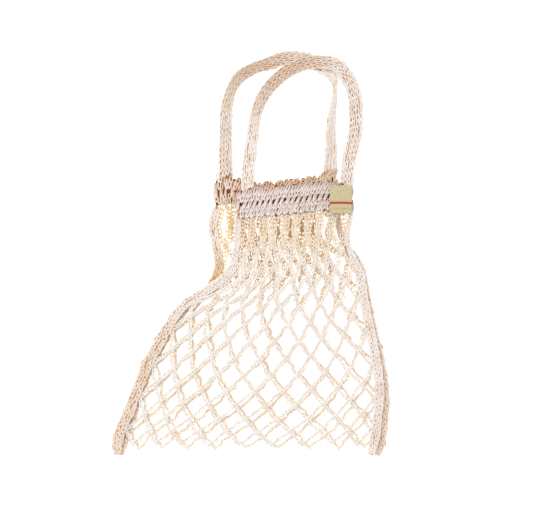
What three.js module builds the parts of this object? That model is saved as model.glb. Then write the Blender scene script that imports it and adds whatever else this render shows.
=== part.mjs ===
// String shopping bag of crocheted cotton, lying flat on its back.
// Sizes are millimetres. +X runs to the right, +Y towards the handles, +Z up from the floor.

import * as THREE from 'three';
import { mergeVertices } from 'three/addons/utils/BufferGeometryUtils.js';

// Driving sizes of the two panels
const bagWidth = 245; // between the two bottom corners
const netDepth = 213; // from the front band down to the bottom corners
const netColumns = 7; // diamonds across a panel
const netRows = 10; // half rows of diamonds down a panel, an even number
const rowStretch = 0.82; // power that makes the upper rows taller than the lower ones
const strandWidth = 3.4;
const strandThick = 2.6;
const netReach = 0.965; // share of an edging's length that the net fills, down to its tips

// Driving sizes of the bands at the mouth
const frontBandLength = 112;
const backBandLength = 118;
const bandHeight = 26;
const bandThick = 4;
const bandRows = 4; // rows of stitches in a band
const mouthOffset = 46.5; // centre of the front band, to the right of the bag's middle
const mouthLift = 12; // how far the front band arches off the back one

// How the back panel lies, out of line with the front one
const backShiftTop = -18; // the back band, to the left
const backShiftBottom = 6.5; // the back panel's bottom corners, to the right
const backRise = 11; // the back band, towards the handles
const belly = 4; // how far the front net swells above the line between its edges

// Driving sizes of the edgings and the handles
const edgingWidth = 8;
const edgingThick = 3.4;
const edgingSettle = 0.3; // share of its length in which an edging comes down from its band
const handleWidth = 12.5;
const handleThick = 3;
const handleSpan = 94; // between the two feet of a handle
const handleReach = 121; // from the band to the top of the arch
const handleRibs = 4;
const frontFootInset = 12; // left foot's centre from the band's left end
const backFootInset = 12.5;

// Driving sizes of the label
const labelWidth = 21;
const labelHeight = 21.5; // from its top to its fold
const labelLip = 5; // what shows below the fold
const labelThick = 1.2;
const labelLipThick = 0.7;
const labelInset = 1; // from the band's right end and from its top edge

// Clearances and steps
const clearance = 0.3; // between pieces that touch
const seamGap = 0.45; // between a piece's end and the band that carries it
const knotReach = 2; // how far a knot of net reaches towards the edging beside it
const bandSteps = 26;
const handleSteps = 46;
const edgingSteps = 30;
const labelSteps = 8;
const ribDepth = 0.16; // groove between two ribs, as a share of the thickness

// How the middle of a band runs: along it, and its rise and its own height as shares of the band's height
const frontBandRun = [
  { along: 0, rise: 0, height: 1.03 },
  { along: 0.18, rise: 0.06, height: 1 },
  { along: 0.5, rise: 0.17, height: 1 },
  { along: 0.79, rise: 0.27, height: 0.97 },
  { along: 1, rise: 0.16, height: 0.98 },
];
const backBandRun = [
  { along: 0, rise: 0, height: 1.13 },
  { along: 0.17, rise: 0.07, height: 1.04 },
  { along: 0.34, rise: -0.12, height: 0.98 },
  { along: 0.68, rise: 0.01, height: 0.98 },
  { along: 0.86, rise: 0.1, height: 1 },
  { along: 1, rise: 0.5, height: 1.04 },
];

// How an edging runs from its band's end to the bottom corner: the drop is a share of the way down,
// the bow a share of the net's depth, outwards, and the breadth a share of the edging's width
const leftFrontRun = [
  { drop: 0, bow: 0, breadth: 0.6 },
  { drop: 0.143, bow: -0.071, breadth: 0.7 },
  { drop: 0.237, bow: -0.093, breadth: 0.9 },
  { drop: 0.308, bow: -0.052, breadth: 1 },
  { drop: 0.388, bow: 0.03, breadth: 1 },
  { drop: 0.509, bow: 0.049, breadth: 1 },
  { drop: 0.67, bow: 0.046, breadth: 1 },
  { drop: 0.848, bow: 0.02, breadth: 1 },
  { drop: 0.98, bow: 0.003, breadth: 1 },
  { drop: 1.05, bow: -0.03, breadth: 0.9 },
];
const rightFrontRun = [
  { drop: 0, bow: 0, breadth: 0.5 },
  { drop: 0.112, bow: -0.025, breadth: 0.5 },
  { drop: 0.183, bow: -0.015, breadth: 0.6 },
  { drop: 0.263, bow: 0.01, breadth: 0.95 },
  { drop: 0.335, bow: 0.016, breadth: 1 },
  { drop: 0.478, bow: 0.029, breadth: 1 },
  { drop: 0.621, bow: 0.045, breadth: 1 },
  { drop: 0.763, bow: 0.048, breadth: 1 },
  { drop: 0.906, bow: 0.024, breadth: 1 },
  { drop: 1, bow: 0, breadth: 1 },
  { drop: 1.05, bow: -0.02, breadth: 0.9 },
];
const leftBackRun = [
  { drop: 0, bow: 0, breadth: 0.8 },
  { drop: 0.073, bow: -0.014, breadth: 1 },
  { drop: 0.159, bow: -0.065, breadth: 1 },
  { drop: 0.236, bow: -0.11, breadth: 1 },
  { drop: 0.313, bow: -0.12, breadth: 1 },
  { drop: 0.365, bow: -0.092, breadth: 1 },
  { drop: 0.425, bow: -0.041, breadth: 1 },
  { drop: 0.536, bow: -0.006, breadth: 1 },
  { drop: 0.691, bow: 0.015, breadth: 1 },
  { drop: 0.863, bow: 0.009, breadth: 1 },
  { drop: 1, bow: 0, breadth: 1 },
  { drop: 1.05, bow: -0.01, breadth: 0.9 },
];
const rightBackRun = [
  { drop: 0, bow: 0, breadth: 0.7 },
  { drop: 0.105, bow: -0.003, breadth: 0.7 },
  { drop: 0.186, bow: 0.007, breadth: 0.7 },
  { drop: 0.259, bow: 0.05, breadth: 0.8 },
  { drop: 0.328, bow: 0.061, breadth: 1 },
  { drop: 0.389, bow: 0.058, breadth: 1 },
  { drop: 0.518, bow: 0.059, breadth: 1 },
  { drop: 0.648, bow: 0.066, breadth: 1 },
  { drop: 0.777, bow: 0.0625, breadth: 1 },
  { drop: 0.907, bow: 0.034, breadth: 1 },
  { drop: 1, bow: 0, breadth: 1 },
  { drop: 1.05, bow: -0.024, breadth: 0.9 },
];

// How a handle runs between its feet: across is a share of its span and reach of its reach, both from
// the left foot, seat the share of its foot's height that it keeps, over the share of a strap's height
// that it climbs where it crosses the other handle, and roll its turn about its own run in degrees
const frontHandleRun = [
  { across: 0.005, reach: 0.142, seat: 0.85, over: 0, roll: 0 },
  { across: 0.025, reach: 0.268, seat: 0.45, over: 0, roll: 0 },
  { across: 0.045, reach: 0.394, seat: 0.12, over: 0, roll: 0 },
  { across: 0.066, reach: 0.52, seat: 0, over: 0, roll: 0 },
  { across: 0.106, reach: 0.646, seat: 0, over: 0, roll: 0 },
  { across: 0.18, reach: 0.76, seat: 0, over: 0, roll: 0 },
  { across: 0.28, reach: 0.85, seat: 0, over: 0.8, roll: 0 },
  { across: 0.41, reach: 0.93, seat: 0, over: 1.15, roll: 0 },
  { across: 0.57, reach: 0.984, seat: 0, over: 1.2, roll: 0 },
  { across: 0.753, reach: 1, seat: 0, over: 1.2, roll: 0 },
  { across: 0.914, reach: 0.965, seat: 0, over: 1.7, roll: 0 },
  { across: 1.035, reach: 0.843, seat: 0, over: 1.3, roll: 0 },
  { across: 1.086, reach: 0.71, seat: 0, over: 0.2, roll: 0 },
  { across: 1.096, reach: 0.575, seat: 0, over: 0, roll: 0 },
  { across: 1.086, reach: 0.441, seat: 0, over: 0, roll: 0 },
  { across: 1.052, reach: 0.307, seat: 0.3, over: 0, roll: 0 },
  { across: 1.015, reach: 0.173, seat: 0.75, over: 0, roll: 0 },
];
const backHandleRun = [
  { across: -0.007, reach: 0.142, seat: 1, over: 0, roll: 0 },
  { across: -0.007, reach: 0.276, seat: 1, over: 0, roll: 0 },
  { across: -0.004, reach: 0.4, seat: 1, over: 0, roll: 0 },
  { across: 0, reach: 0.51, seat: 1, over: 0, roll: 0 },
  { across: 0.04, reach: 0.654, seat: 1, over: 0, roll: 0 },
  { across: 0.131, reach: 0.772, seat: 1, over: 0, roll: 0 },
  { across: 0.27, reach: 0.842, seat: 1, over: 0, roll: 0 },
  { across: 0.434, reach: 0.886, seat: 1, over: 0, roll: 0 },
  { across: 0.576, reach: 0.922, seat: 1, over: 0, roll: 0 },
  { across: 0.7, reach: 0.932, seat: 1, over: 0, roll: 0 },
  { across: 0.83, reach: 0.912, seat: 1, over: 0, roll: 0 },
  { across: 0.95, reach: 0.867, seat: 1, over: 0, roll: 0 },
  { across: 1.04, reach: 0.819, seat: 1, over: 0, roll: 2 },
  { across: 1.08, reach: 0.77, seat: 1, over: 0, roll: 44 },
  { across: 1.1, reach: 0.7, seat: 1, over: 0, roll: 80 },
  { across: 1.095, reach: 0.61, seat: 1, over: 0, roll: 76 },
  { across: 1.075, reach: 0.5, seat: 1, over: 0, roll: 62 },
  { across: 1.062, reach: 0.38, seat: 1, over: 0, roll: 48 },
  { across: 1.06, reach: 0.25, seat: 1, over: 0, roll: 36 },
  { across: 1.06, reach: 0.15, seat: 1, over: 0, roll: 18 },
];
const backFootAcross = 1.055; // right foot of the back handle, as a share of the handle's span

// Value at a share t of the way along evenly spaced values, on a smooth curve through them
function smooth(values, t) {
  const last = values.length - 1;
  const place = Math.min(Math.max(t, 0), 1) * last;
  const i = Math.min(Math.floor(place), last - 1);
  const f = place - i;
  const before = values[Math.max(i - 1, 0)];
  const after = values[Math.min(i + 2, last)];
  const slopeIn = (values[i + 1] - before) / 2;
  const slopeOut = (after - values[i]) / 2;
  const rise = values[i + 1] - values[i];
  const square = 3 * rise - 2 * slopeIn - slopeOut;
  const cube = slopeIn + slopeOut - 2 * rise;
  return values[i] + f * (slopeIn + f * (square + f * cube));
}

// Value of one column of a band's table at a share of the way along it
function bandColumn(table, name, along) {
  const last = table.length - 1;
  let i = 0;
  while (i < last - 1 && table[i + 1].along < along) i += 1;
  const f = THREE.MathUtils.clamp((along - table[i].along) / (table[i + 1].along - table[i].along), 0, 1);
  return smooth(table.map((row) => row[name]), (i + f) / last);
}

// A closed body from a list of triangles, each three points
function body(triangles) {
  const position = [];
  for (const points of triangles) {
    for (const point of points) position.push(point.x, point.y, point.z);
  }
  const geometry = new THREE.BufferGeometry();
  geometry.setAttribute('position', new THREE.Float32BufferAttribute(position, 3));
  const merged = mergeVertices(geometry, 1e-4);
  let volume = 0;
  const corner = [new THREE.Vector3(), new THREE.Vector3(), new THREE.Vector3()];
  const index = merged.getIndex();
  const vertices = merged.getAttribute('position');
  for (let k = 0; k < index.count; k += 3) {
    corner.forEach((point, j) => point.fromBufferAttribute(vertices, index.getX(k + j)));
    volume += corner[0].dot(corner[1].clone().cross(corner[2]));
  }
  if (volume < 0) {
    for (let k = 0; k < index.count; k += 3) {
      const second = index.getX(k + 1);
      index.setX(k + 1, index.getX(k + 2));
      index.setX(k + 2, second);
    }
  }
  merged.computeVertexNormals();
  return merged;
}

function addQuad(triangles, a, b, c, d) {
  triangles.push([a, b, c], [a, c, d]);
}

// A closed body through rings of points, with its two ends closed to their middles
function loft(rings) {
  const triangles = [];
  const count = rings[0].length;
  for (let k = 0; k < rings.length - 1; k += 1) {
    for (let i = 0; i < count; i += 1) {
      const j = (i + 1) % count;
      addQuad(triangles, rings[k][i], rings[k][j], rings[k + 1][j], rings[k + 1][i]);
    }
  }
  for (const end of [0, rings.length - 1]) {
    const middle = new THREE.Vector3();
    rings[end].forEach((point) => middle.addScaledVector(point, 1 / count));
    for (let i = 0; i < count; i += 1) {
      const j = (i + 1) % count;
      if (end === 0) triangles.push([middle, rings[end][j], rings[end][i]]);
      else triangles.push([middle, rings[end][i], rings[end][j]]);
    }
  }
  return body(triangles);
}

// Outline of a ribbed strip, as shares of its width and thickness, with a flat underside
function ribbedOutline(ribs) {
  const points = [];
  for (let k = 0; k <= 2 * ribs; k += 1) {
    const valley = k % 2 === 0;
    const end = k === 0 || k === 2 * ribs;
    points.push([k / (2 * ribs) - 0.5, valley ? 0.5 - ribDepth * (end ? 2 : 1) : 0.5]);
  }
  points.push([0.5, -0.5], [-0.5, -0.5]);
  return points;
}

// The bands: where the middle, the two edges and the height of one lie at each x
function bandPlan(run, length, left, base, restHeight, lift) {
  const plan = { left, length };
  plan.share = (x) => (x - left) / length;
  plan.middle = (x) => base + bandHeight * (0.5 + bandColumn(run, 'rise', plan.share(x)));
  plan.half = (x) => (bandHeight / 2) * bandColumn(run, 'height', plan.share(x));
  plan.top = (x) => plan.middle(x) + plan.half(x);
  plan.foot = (x) => plan.middle(x) - plan.half(x);
  plan.height = (x) => {
    const arch = Math.sin(Math.PI * THREE.MathUtils.clamp(plan.share(x), 0, 1));
    return restHeight + bandThick / 2 + lift * arch;
  };
  return plan;
}

const frontBandLeft = mouthOffset - frontBandLength / 2;
const frontBandRest = Math.max(bandThick, edgingThick) + clearance;
const frontBandPlan = bandPlan(
  frontBandRun, frontBandLength, frontBandLeft, netDepth, frontBandRest, mouthLift,
);
const backBandLeft = mouthOffset + backShiftTop - backBandLength / 2;
const backBandPlan = bandPlan(backBandRun, backBandLength, backBandLeft, netDepth + backRise, 0, 0);

function bandGeometry(plan) {
  const rings = [];
  for (let k = 0; k <= bandSteps; k += 1) {
    const x = plan.left + (plan.length * k) / bandSteps;
    rings.push(ribbedOutline(bandRows).map(([across, up]) => new THREE.Vector3(
      x, plan.middle(x) + across * 2 * plan.half(x), plan.height(x) + up * bandThick,
    )));
  }
  return loft(rings);
}

// The edgings: where one runs below its band's end. Side is -1 on the left and 1 on the right
function edgePlan(run, side, band, cornerX, restHeight) {
  const start = new THREE.Vector3();
  const bandEnd = side < 0 ? band.left : band.left + band.length;
  const endHalf = (edgingWidth / 2) * run[0].breadth;
  start.x = bandEnd - side * endHalf;
  start.y = Math.min(band.foot(start.x - endHalf), band.foot(start.x + endHalf)) - seamGap;
  const points = run.map((row) => new THREE.Vector3(
    start.x + (cornerX - start.x) * row.drop + side * row.bow * netDepth,
    start.y * (1 - row.drop),
    0,
  ));
  const curve = new THREE.CatmullRomCurve3(points, false, 'catmullrom', 0.5);
  const drop = Math.max(0, band.height(start.x) - bandThick / 2 - restHeight);
  const plan = {};
  plan.place = (share) => {
    const middle = curve.getPointAt(share);
    const ahead = curve.getTangentAt(share);
    const inward = new THREE.Vector3(ahead.y, -ahead.x, 0).multiplyScalar(side);
    if (share === 0) inward.set(-side, 0, 0);
    const breadth = smooth(run.map((row) => row.breadth), curve.getUtoTmapping(share));
    const settle = Math.max(0, 1 - share / edgingSettle) ** 2;
    middle.z = restHeight + edgingThick / 2 + drop * settle;
    return { middle, inward, half: (breadth * edgingWidth) / 2 };
  };
  plan.netEdge = (share) => {
    const { middle, inward, half } = plan.place(share);
    return middle.addScaledVector(inward, half + clearance + knotReach);
  };
  return plan;
}

// Outline of an edging, two ridges of chain over a flat underside
const edgingOutline = [
  [-0.5, -0.5], [0.5, -0.5], [0.5, 0.15], [0.26, 0.5], [0, 0.3], [-0.26, 0.5], [-0.5, 0.15],
];

function edgingGeometry(plan) {
  const rings = [];
  for (let k = 0; k <= edgingSteps; k += 1) {
    const { middle, inward, half } = plan.place(k / edgingSteps);
    rings.push(edgingOutline.map(([across, up]) => {
      const point = middle.clone().addScaledVector(inward, across * 2 * half);
      point.z += up * edgingThick;
      return point;
    }));
  }
  return loft(rings);
}

// The nets: a surface between the two edgings and the band, from 0 to 1 across and down
function netPlan(left, right, band, restHeight, swell) {
  const corners = {
    topLeft: left.netEdge(0),
    topRight: right.netEdge(0),
    bottomLeft: left.netEdge(netReach),
    bottomRight: right.netEdge(netReach),
  };
  const tipHeight = restHeight + strandThick / 2;
  const mouth = (across) => {
    const x = THREE.MathUtils.lerp(corners.topLeft.x, corners.topRight.x, across);
    const z = band.height(x) - bandThick / 2 + strandThick / 2;
    return new THREE.Vector3(x, band.foot(x) - seamGap - knotReach, z);
  };
  const tips = (across) => corners.bottomLeft.clone().lerp(corners.bottomRight, across).setZ(tipHeight);
  return (across, down) => {
    const depth = down * netReach;
    const leftBow = left.netEdge(depth).sub(corners.topLeft.clone().lerp(corners.bottomLeft, down));
    const rightBow = right.netEdge(depth).sub(corners.topRight.clone().lerp(corners.bottomRight, down));
    const point = mouth(across).lerp(tips(across), down);
    point.addScaledVector(leftBow, 1 - across).addScaledVector(rightBow, across);
    point.z += swell * Math.sin(Math.PI * across) * Math.sin(Math.PI * down);
    return point;
  };
}

// How far the middle line of a strand moves at a corner to lie a distance to its left
function cornerShift(previous, here, next, distance) {
  const before = new THREE.Vector2(here.x - previous.x, here.y - previous.y).normalize();
  const after = new THREE.Vector2(next.x - here.x, next.y - here.y).normalize();
  const normal = new THREE.Vector2(-before.y - after.y, before.x + after.x);
  return normal.multiplyScalar(distance / (1 + before.dot(after)));
}

function raised(point, height) {
  return new THREE.Vector3(point.x, point.y, point.z + height);
}

// Half of a strand along one side, from its middle line a-b to its rim
function addSide(triangles, a, b, rimA, rimB) {
  const ridge = strandThick / 2;
  const rim = strandThick / 4;
  addQuad(triangles, raised(a, ridge), raised(b, ridge), raised(rimB, rim), raised(rimA, rim));
  addQuad(triangles, raised(rimA, rim), raised(rimB, rim), raised(rimB, -rim), raised(rimA, -rim));
  addQuad(triangles, raised(rimA, -rim), raised(rimB, -rim), raised(b, -ridge), raised(a, -ridge));
}

// The strands round one loop of knots: an anticlockwise one has its gap inside
function addLoop(triangles, knots) {
  const count = knots.length;
  const rims = knots.map((here, k) => {
    const before = knots[(k + count - 1) % count];
    const after = knots[(k + 1) % count];
    const shift = cornerShift(before, here, after, strandWidth / 2);
    const turn = (here.x - before.x) * (after.y - here.y) - (here.y - before.y) * (after.x - here.x);
    if (turn < 0) shift.clampLength(0, knotReach);
    const slope = (before.z + after.z - 2 * here.z) / (before.distanceTo(here) + after.distanceTo(here));
    const bend = turn > 0 ? slope * shift.length() : 0;
    return new THREE.Vector3(here.x + shift.x, here.y + shift.y, here.z + bend);
  });
  knots.forEach((here, k) => {
    const next = (k + 1) % count;
    addSide(triangles, here, knots[next], rims[k], rims[next]);
  });
}

// Knots on odd rows lie on the edges, and those on even rows half a column in
function netGeometry(surface) {
  const triangles = [];
  const knot = (row, place) => {
    const across = (row % 2 === 1 ? place : place + 0.5) / netColumns;
    return surface(across, (row / netRows) ** rowStretch);
  };
  for (let row = 1; row < netRows; row += 1) {
    const even = 1 - (row % 2);
    for (let k = 0; k < netColumns - even; k += 1) {
      addLoop(triangles, [knot(row - 1, k + even), knot(row, k), knot(row + 1, k + even), knot(row, k + 1)]);
    }
  }
  const outline = [];
  for (let k = 0; k < netColumns; k += 1) {
    outline.push(knot(0, k));
    if (k < netColumns - 1) outline.push(knot(1, k + 1));
  }
  for (let row = 1; row < netRows; row += 1) outline.push(knot(row, netColumns - 1 + (row % 2)));
  for (let k = netColumns - 1; k >= 0; k -= 1) {
    outline.push(knot(netRows, k));
    if (k > 0) outline.push(knot(netRows - 1, k));
  }
  for (let row = netRows - 1; row > 0; row -= 1) outline.push(knot(row, 0));
  addLoop(triangles, outline);
  return body(triangles);
}

// The handles
function handleGeometry(run, band, footPlaces) {
  const footHeight = (x) => band.height(x) - bandThick / 2;
  const feet = footPlaces.map((x) => new THREE.Vector3(x, band.top(x) + seamGap, footHeight(x)));
  const rows = [
    { across: 0, reach: 0, seat: 1, over: 0, roll: 0 },
    ...run,
    {
      across: (feet[1].x - feet[0].x) / handleSpan,
      reach: (feet[1].y - feet[0].y) / handleReach,
      seat: 1, over: 0, roll: 0,
    },
  ];
  const values = (name) => rows.map((row) => row[name]);
  const middleAt = (t) => new THREE.Vector3(
    feet[0].x + smooth(values('across'), t) * handleSpan,
    feet[0].y + smooth(values('reach'), t) * handleReach,
    0,
  );
  const outline = ribbedOutline(handleRibs);
  const rings = [];
  for (let k = 0; k <= handleSteps; k += 1) {
    const t = k / handleSteps;
    const step = 0.5 / handleSteps;
    const ahead = middleAt(Math.min(1, t + step)).sub(middleAt(Math.max(0, t - step))).normalize();
    const foot = feet[t < 0.5 ? 0 : 1];
    const seat = Math.max(0, smooth(values('seat'), t));
    const over = Math.max(0, smooth(values('over'), t));
    const roll = THREE.MathUtils.degToRad(smooth(values('roll'), t));
    const flat = new THREE.Vector3(ahead.y, -ahead.x, 0);
    const across = flat.clone().multiplyScalar(Math.cos(roll));
    across.z = Math.sin(roll);
    const up = flat.clone().multiplyScalar(-Math.sin(roll));
    up.z = Math.cos(roll);
    if (k === 0 || k === handleSteps) {
      const before = foot.x - handleWidth / 2;
      const after = foot.x + handleWidth / 2;
      across.set(handleWidth, band.top(after) - band.top(before), band.height(after) - band.height(before));
      across.multiplyScalar((k === 0 ? 1 : -1) / handleWidth);
    }
    const middle = middleAt(t);
    const rest = (Math.abs(Math.sin(roll)) * handleWidth + Math.cos(roll) * handleThick) / 2;
    middle.z = rest + foot.z * seat + over * (handleThick + 2 * clearance);
    rings.push(outline.map(([wide, high]) => middle.clone()
      .addScaledVector(across, wide * handleWidth)
      .addScaledVector(up, high * handleThick)));
  }
  return loft(rings);
}

// The label, a ribbon folded under at its lower end
function labelGeometry(band) {
  const right = band.left + band.length - labelInset;
  const top = band.top(right - labelWidth / 2) - labelInset;
  const profile = [
    [0, 0], [0, labelThick], [labelHeight, labelThick], [labelHeight, labelLipThick],
    [labelHeight + labelLip, labelLipThick], [labelHeight + labelLip, 0],
  ];
  const rings = [];
  for (let k = 0; k <= labelSteps; k += 1) {
    const x = right - labelWidth * (1 - k / labelSteps);
    const seat = band.height(x) + bandThick / 2 + clearance;
    rings.push(profile.map(([drop, up]) => new THREE.Vector3(x, top - drop, seat + up)));
  }
  return loft(rings);
}

// Materials
function yarn(name, color) {
  const material = new THREE.MeshStandardMaterial({ color, roughness: 0.9, metalness: 0 });
  material.name = name;
  return material;
}

// The assembly
const group = new THREE.Group();

function add(name, geometry, color) {
  const mesh = new THREE.Mesh(geometry, yarn(name, color));
  mesh.name = name;
  group.add(mesh);
}

const halfBag = bagWidth / 2;
const frontRest = edgingThick + clearance;
const frontNetRest = strandThick + 2 * clearance;
const leftFront = edgePlan(leftFrontRun, -1, frontBandPlan, -halfBag, frontRest);
const rightFront = edgePlan(rightFrontRun, 1, frontBandPlan, halfBag, frontRest);
const leftBack = edgePlan(leftBackRun, -1, backBandPlan, backShiftBottom - halfBag, 0);
const rightBack = edgePlan(rightBackRun, 1, backBandPlan, backShiftBottom + halfBag, 0);
const frontSurface = netPlan(leftFront, rightFront, frontBandPlan, frontNetRest, belly);
const backSurface = netPlan(leftBack, rightBack, backBandPlan, 0, 0);
const frontFeet = [frontBandLeft + frontFootInset, frontBandLeft + frontFootInset + handleSpan];
const backFeet = [backBandLeft + backFootInset, backBandLeft + backFootInset + backFootAcross * handleSpan];

add('back_net', netGeometry(backSurface), 0xe9dcc4);
add('left_edging_back', edgingGeometry(leftBack), 0xe6d6c0);
add('right_edging_back', edgingGeometry(rightBack), 0xe6d6c0);
add('back_band', bandGeometry(backBandPlan), 0xdcc9b4);
add('back_handle', handleGeometry(backHandleRun, backBandPlan, backFeet), 0xe8dccf);
add('front_net', netGeometry(frontSurface), 0xf1e8dc);
add('left_edging_front', edgingGeometry(leftFront), 0xefe3d7);
add('right_edging_front', edgingGeometry(rightFront), 0xefe3d7);
add('front_band', bandGeometry(frontBandPlan), 0xe4d8d2);
add('front_handle', handleGeometry(frontHandleRun, frontBandPlan, frontFeet), 0xf0e4dc);
add('label', labelGeometry(frontBandPlan), 0xd5c88f);

// The origin is the middle of the bag's outline, on the floor
const box = new THREE.Box3().setFromObject(group);
const middle = box.getCenter(new THREE.Vector3());
group.position.set(-middle.x, -middle.y, -box.min.z);

export default group;
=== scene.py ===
# %% [markdown]
# # A crocheted string bag, lying flat
# The real thing is a child's net shopping bag of natural cotton yarn: an open diamond net, two
# dense bands at its mouth, a crocheted edging down each side, two strap handles and a ribbon label.
# Everything you see on it is yarn, so nearly all of it is made the same way here: a soft tube that
# follows the path of a stitch. The solids of the CAD model say where each piece lies, and stay as
# the frame that the stitches are laid on.

# %% The frame
import math
import bpy
import numpy as np
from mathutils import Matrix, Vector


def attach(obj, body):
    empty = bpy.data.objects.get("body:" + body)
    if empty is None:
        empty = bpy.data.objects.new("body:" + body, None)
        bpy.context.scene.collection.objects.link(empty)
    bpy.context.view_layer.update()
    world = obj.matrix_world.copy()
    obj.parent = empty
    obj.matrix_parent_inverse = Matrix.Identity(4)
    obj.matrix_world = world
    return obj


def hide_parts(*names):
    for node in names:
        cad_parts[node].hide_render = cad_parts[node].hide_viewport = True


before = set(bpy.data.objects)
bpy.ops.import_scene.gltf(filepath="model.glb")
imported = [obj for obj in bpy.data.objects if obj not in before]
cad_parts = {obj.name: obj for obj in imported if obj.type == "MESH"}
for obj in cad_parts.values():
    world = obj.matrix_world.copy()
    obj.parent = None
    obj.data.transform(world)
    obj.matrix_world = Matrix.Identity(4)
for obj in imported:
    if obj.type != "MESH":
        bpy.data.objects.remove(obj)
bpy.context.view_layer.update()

MM = 0.001
chance = np.random.default_rng(7)

# %% [markdown]
# ## Camera
# The photograph looks straight down on the bag. One pixel of it covers 0.95 mm, and its middle is a
# little right of and below the middle of the bag. A long lens from far above keeps the tall and the
# low parts of the bag at the same scale, as in the photograph.

# %% Camera
MM_PER_PIXEL = 0.95
IMAGE_WIDTH = 533
VIEW_MIDDLE = (14.9, -12.04)
CAMERA_HEIGHT = 2500.0
BAG_HEIGHT = 8.0  # at this height a pixel covers just that much
SENSOR = 36.0


def add_object(name, data):
    """An object that shows this data, linked into the scene."""
    made = bpy.data.objects.new(name, data)
    bpy.context.scene.collection.objects.link(made)
    return made


camera_data = bpy.data.cameras.new("camera")
camera = add_object("camera", camera_data)
camera.location = (VIEW_MIDDLE[0] * MM, VIEW_MIDDLE[1] * MM, CAMERA_HEIGHT * MM)
camera_data.sensor_width = SENSOR
camera_data.lens = SENSOR * (CAMERA_HEIGHT - BAG_HEIGHT) / (MM_PER_PIXEL * IMAGE_WIDTH)
bpy.context.scene.camera = camera
print("camera", round(camera_data.lens, 1), "mm lens")

# %% [markdown]
# ## Sizes that the CAD model also has
# The stitches have to lie where the solids lie, so these sizes and the tables further down are those
# of the CAD source, in millimetres. Its own drawing starts at the bag's lower edge, and SHIFT moves
# that to the frame's origin.

# %% Sizes
SHIFT = np.array([-5.486, -179.718, 0.0])
NET_DEPTH = 213.0
BAND_HEIGHT = 26.0
BAND_THICK = 4.0
EDGING_WIDTH = 8.0
EDGING_THICK = 3.4
STRAND_THICK = 2.6
CLEARANCE = 0.3  # between pieces that lie on each other
SEAM_GAP = 0.45  # between pieces that are worked together end to end
NET_REACH = 0.965  # how far down the edgings the net hangs, as a share of their length
HANDLE_WIDTH = 12.5
HANDLE_THICK = 3.0
HANDLE_SPAN = 94.0
HANDLE_REACH = 121.0
HALF_BAG = 122.5
BACK_CORNER_SHIFT = 6.5  # how far the back panel's bottom corners lie to the right
print("the net is", NET_DEPTH, "mm deep, the bottom of the bag", 2 * HALF_BAG, "mm wide")

# %% [markdown]
# ## Curves through tables
# The run of each band, edging and strap is a short table of numbers. A Bezier curve would do, but
# then every handle of it has to be set too. A curve that simply passes through each row is easier to
# read and to correct, and it works on a whole table at once.

# %% Curves through tables
def smooth(values, share):
    """A value at each share of the way along evenly spaced values, on a curve through them."""
    values = np.asarray(values, float)
    last = len(values) - 1
    place = np.clip(share, 0, 1) * last
    low = np.minimum(place.astype(int), last - 1)
    part = (place - low).reshape(-1, *[1] * (values.ndim - 1))
    before = values[np.maximum(low - 1, 0)]
    after = values[np.minimum(low + 2, last)]
    slope_in = (values[low + 1] - before) / 2
    slope_out = (after - values[low]) / 2
    rise = values[low + 1] - values[low]
    square = 3 * rise - 2 * slope_in - slope_out
    cube = slope_in + slope_out - 2 * rise
    return values[low] + part * (slope_in + part * (square + part * cube))


def unit(vectors):
    """The same directions, each 1 long."""
    size = np.linalg.norm(vectors, axis=-1, keepdims=True)
    return vectors / np.maximum(size, 1e-9)


print("half way between the 0 and 1 of 0, 1, 4 is", smooth([0, 1, 4], np.array([0.25]))[0])

# %% [markdown]
# ## Ribbons
# A band, an edging and a strap are all ribbons of stitches. It pays to think of each as a flat
# ribbon with two rulers on it: millimetres along, and millimetres across. A stitch is drawn once on
# the flat ribbon, and then laid where the ribbon really runs. A ribbon here is a list of stations,
# each with a middle, a direction across and a direction up.

# %% Ribbons
class Ribbon:
    """Stations along a ribbon: s in mm, middle, across and up for each."""

    def __init__(self, middle, across, up):
        self.middle, self.across, self.up = middle, across, up
        steps = np.linalg.norm(np.diff(middle, axis=0), axis=1)
        self.s = np.concatenate([[0], np.cumsum(steps)])
        self.length = self.s[-1]

    def lay(self, flat):
        """Points of the flat ribbon (along, across, above), where they are in the frame, and up."""
        shape = flat.shape[:-1]
        s = flat[..., 0].ravel()

        def at(table):
            columns = [np.interp(s, self.s, table[:, k]) for k in range(3)]
            return np.stack(columns, -1).reshape(*shape, 3)

        ahead = unit(self.middle[-1] - self.middle[-2])
        back = unit(self.middle[0] - self.middle[1])
        beyond = np.maximum(flat[..., :1] - self.length, 0) * ahead
        before = np.maximum(-flat[..., :1], 0) * back
        up = unit(at(self.up))
        place = at(self.middle) + beyond + before
        return place + at(self.across) * flat[..., 1:2] + up * flat[..., 2:3], up

    def read(self, table, s):
        """A table of shares of the length and the values there, read at s mm along."""
        return np.interp(s / self.length, *table)

    def longer(self, start, stop):
        """The same ribbon, run on straight by so many mm before its start and after its stop."""
        middle = self.middle
        first = middle[0] + unit(middle[0] - middle[1]) * start
        last = middle[-1] + unit(middle[-1] - middle[-2]) * stop
        across, up = ([table[:1], table, table[-1:]] for table in (self.across, self.up))
        return Ribbon(np.vstack([first, middle, last]), np.vstack(across), np.vstack(up))


print("tools of a ribbon:", ", ".join(name for name in vars(Ribbon) if name[0] != "_"))

# %% [markdown]
# ## Runs of the bands
# The front band rises to the right and arches over the back one, because the mouth stands a little
# open. The back band lies flat. Each row of a table is a place along the band, as a share of its
# length, how far the middle is raised there and how tall the band is, both as a share of its height.

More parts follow.
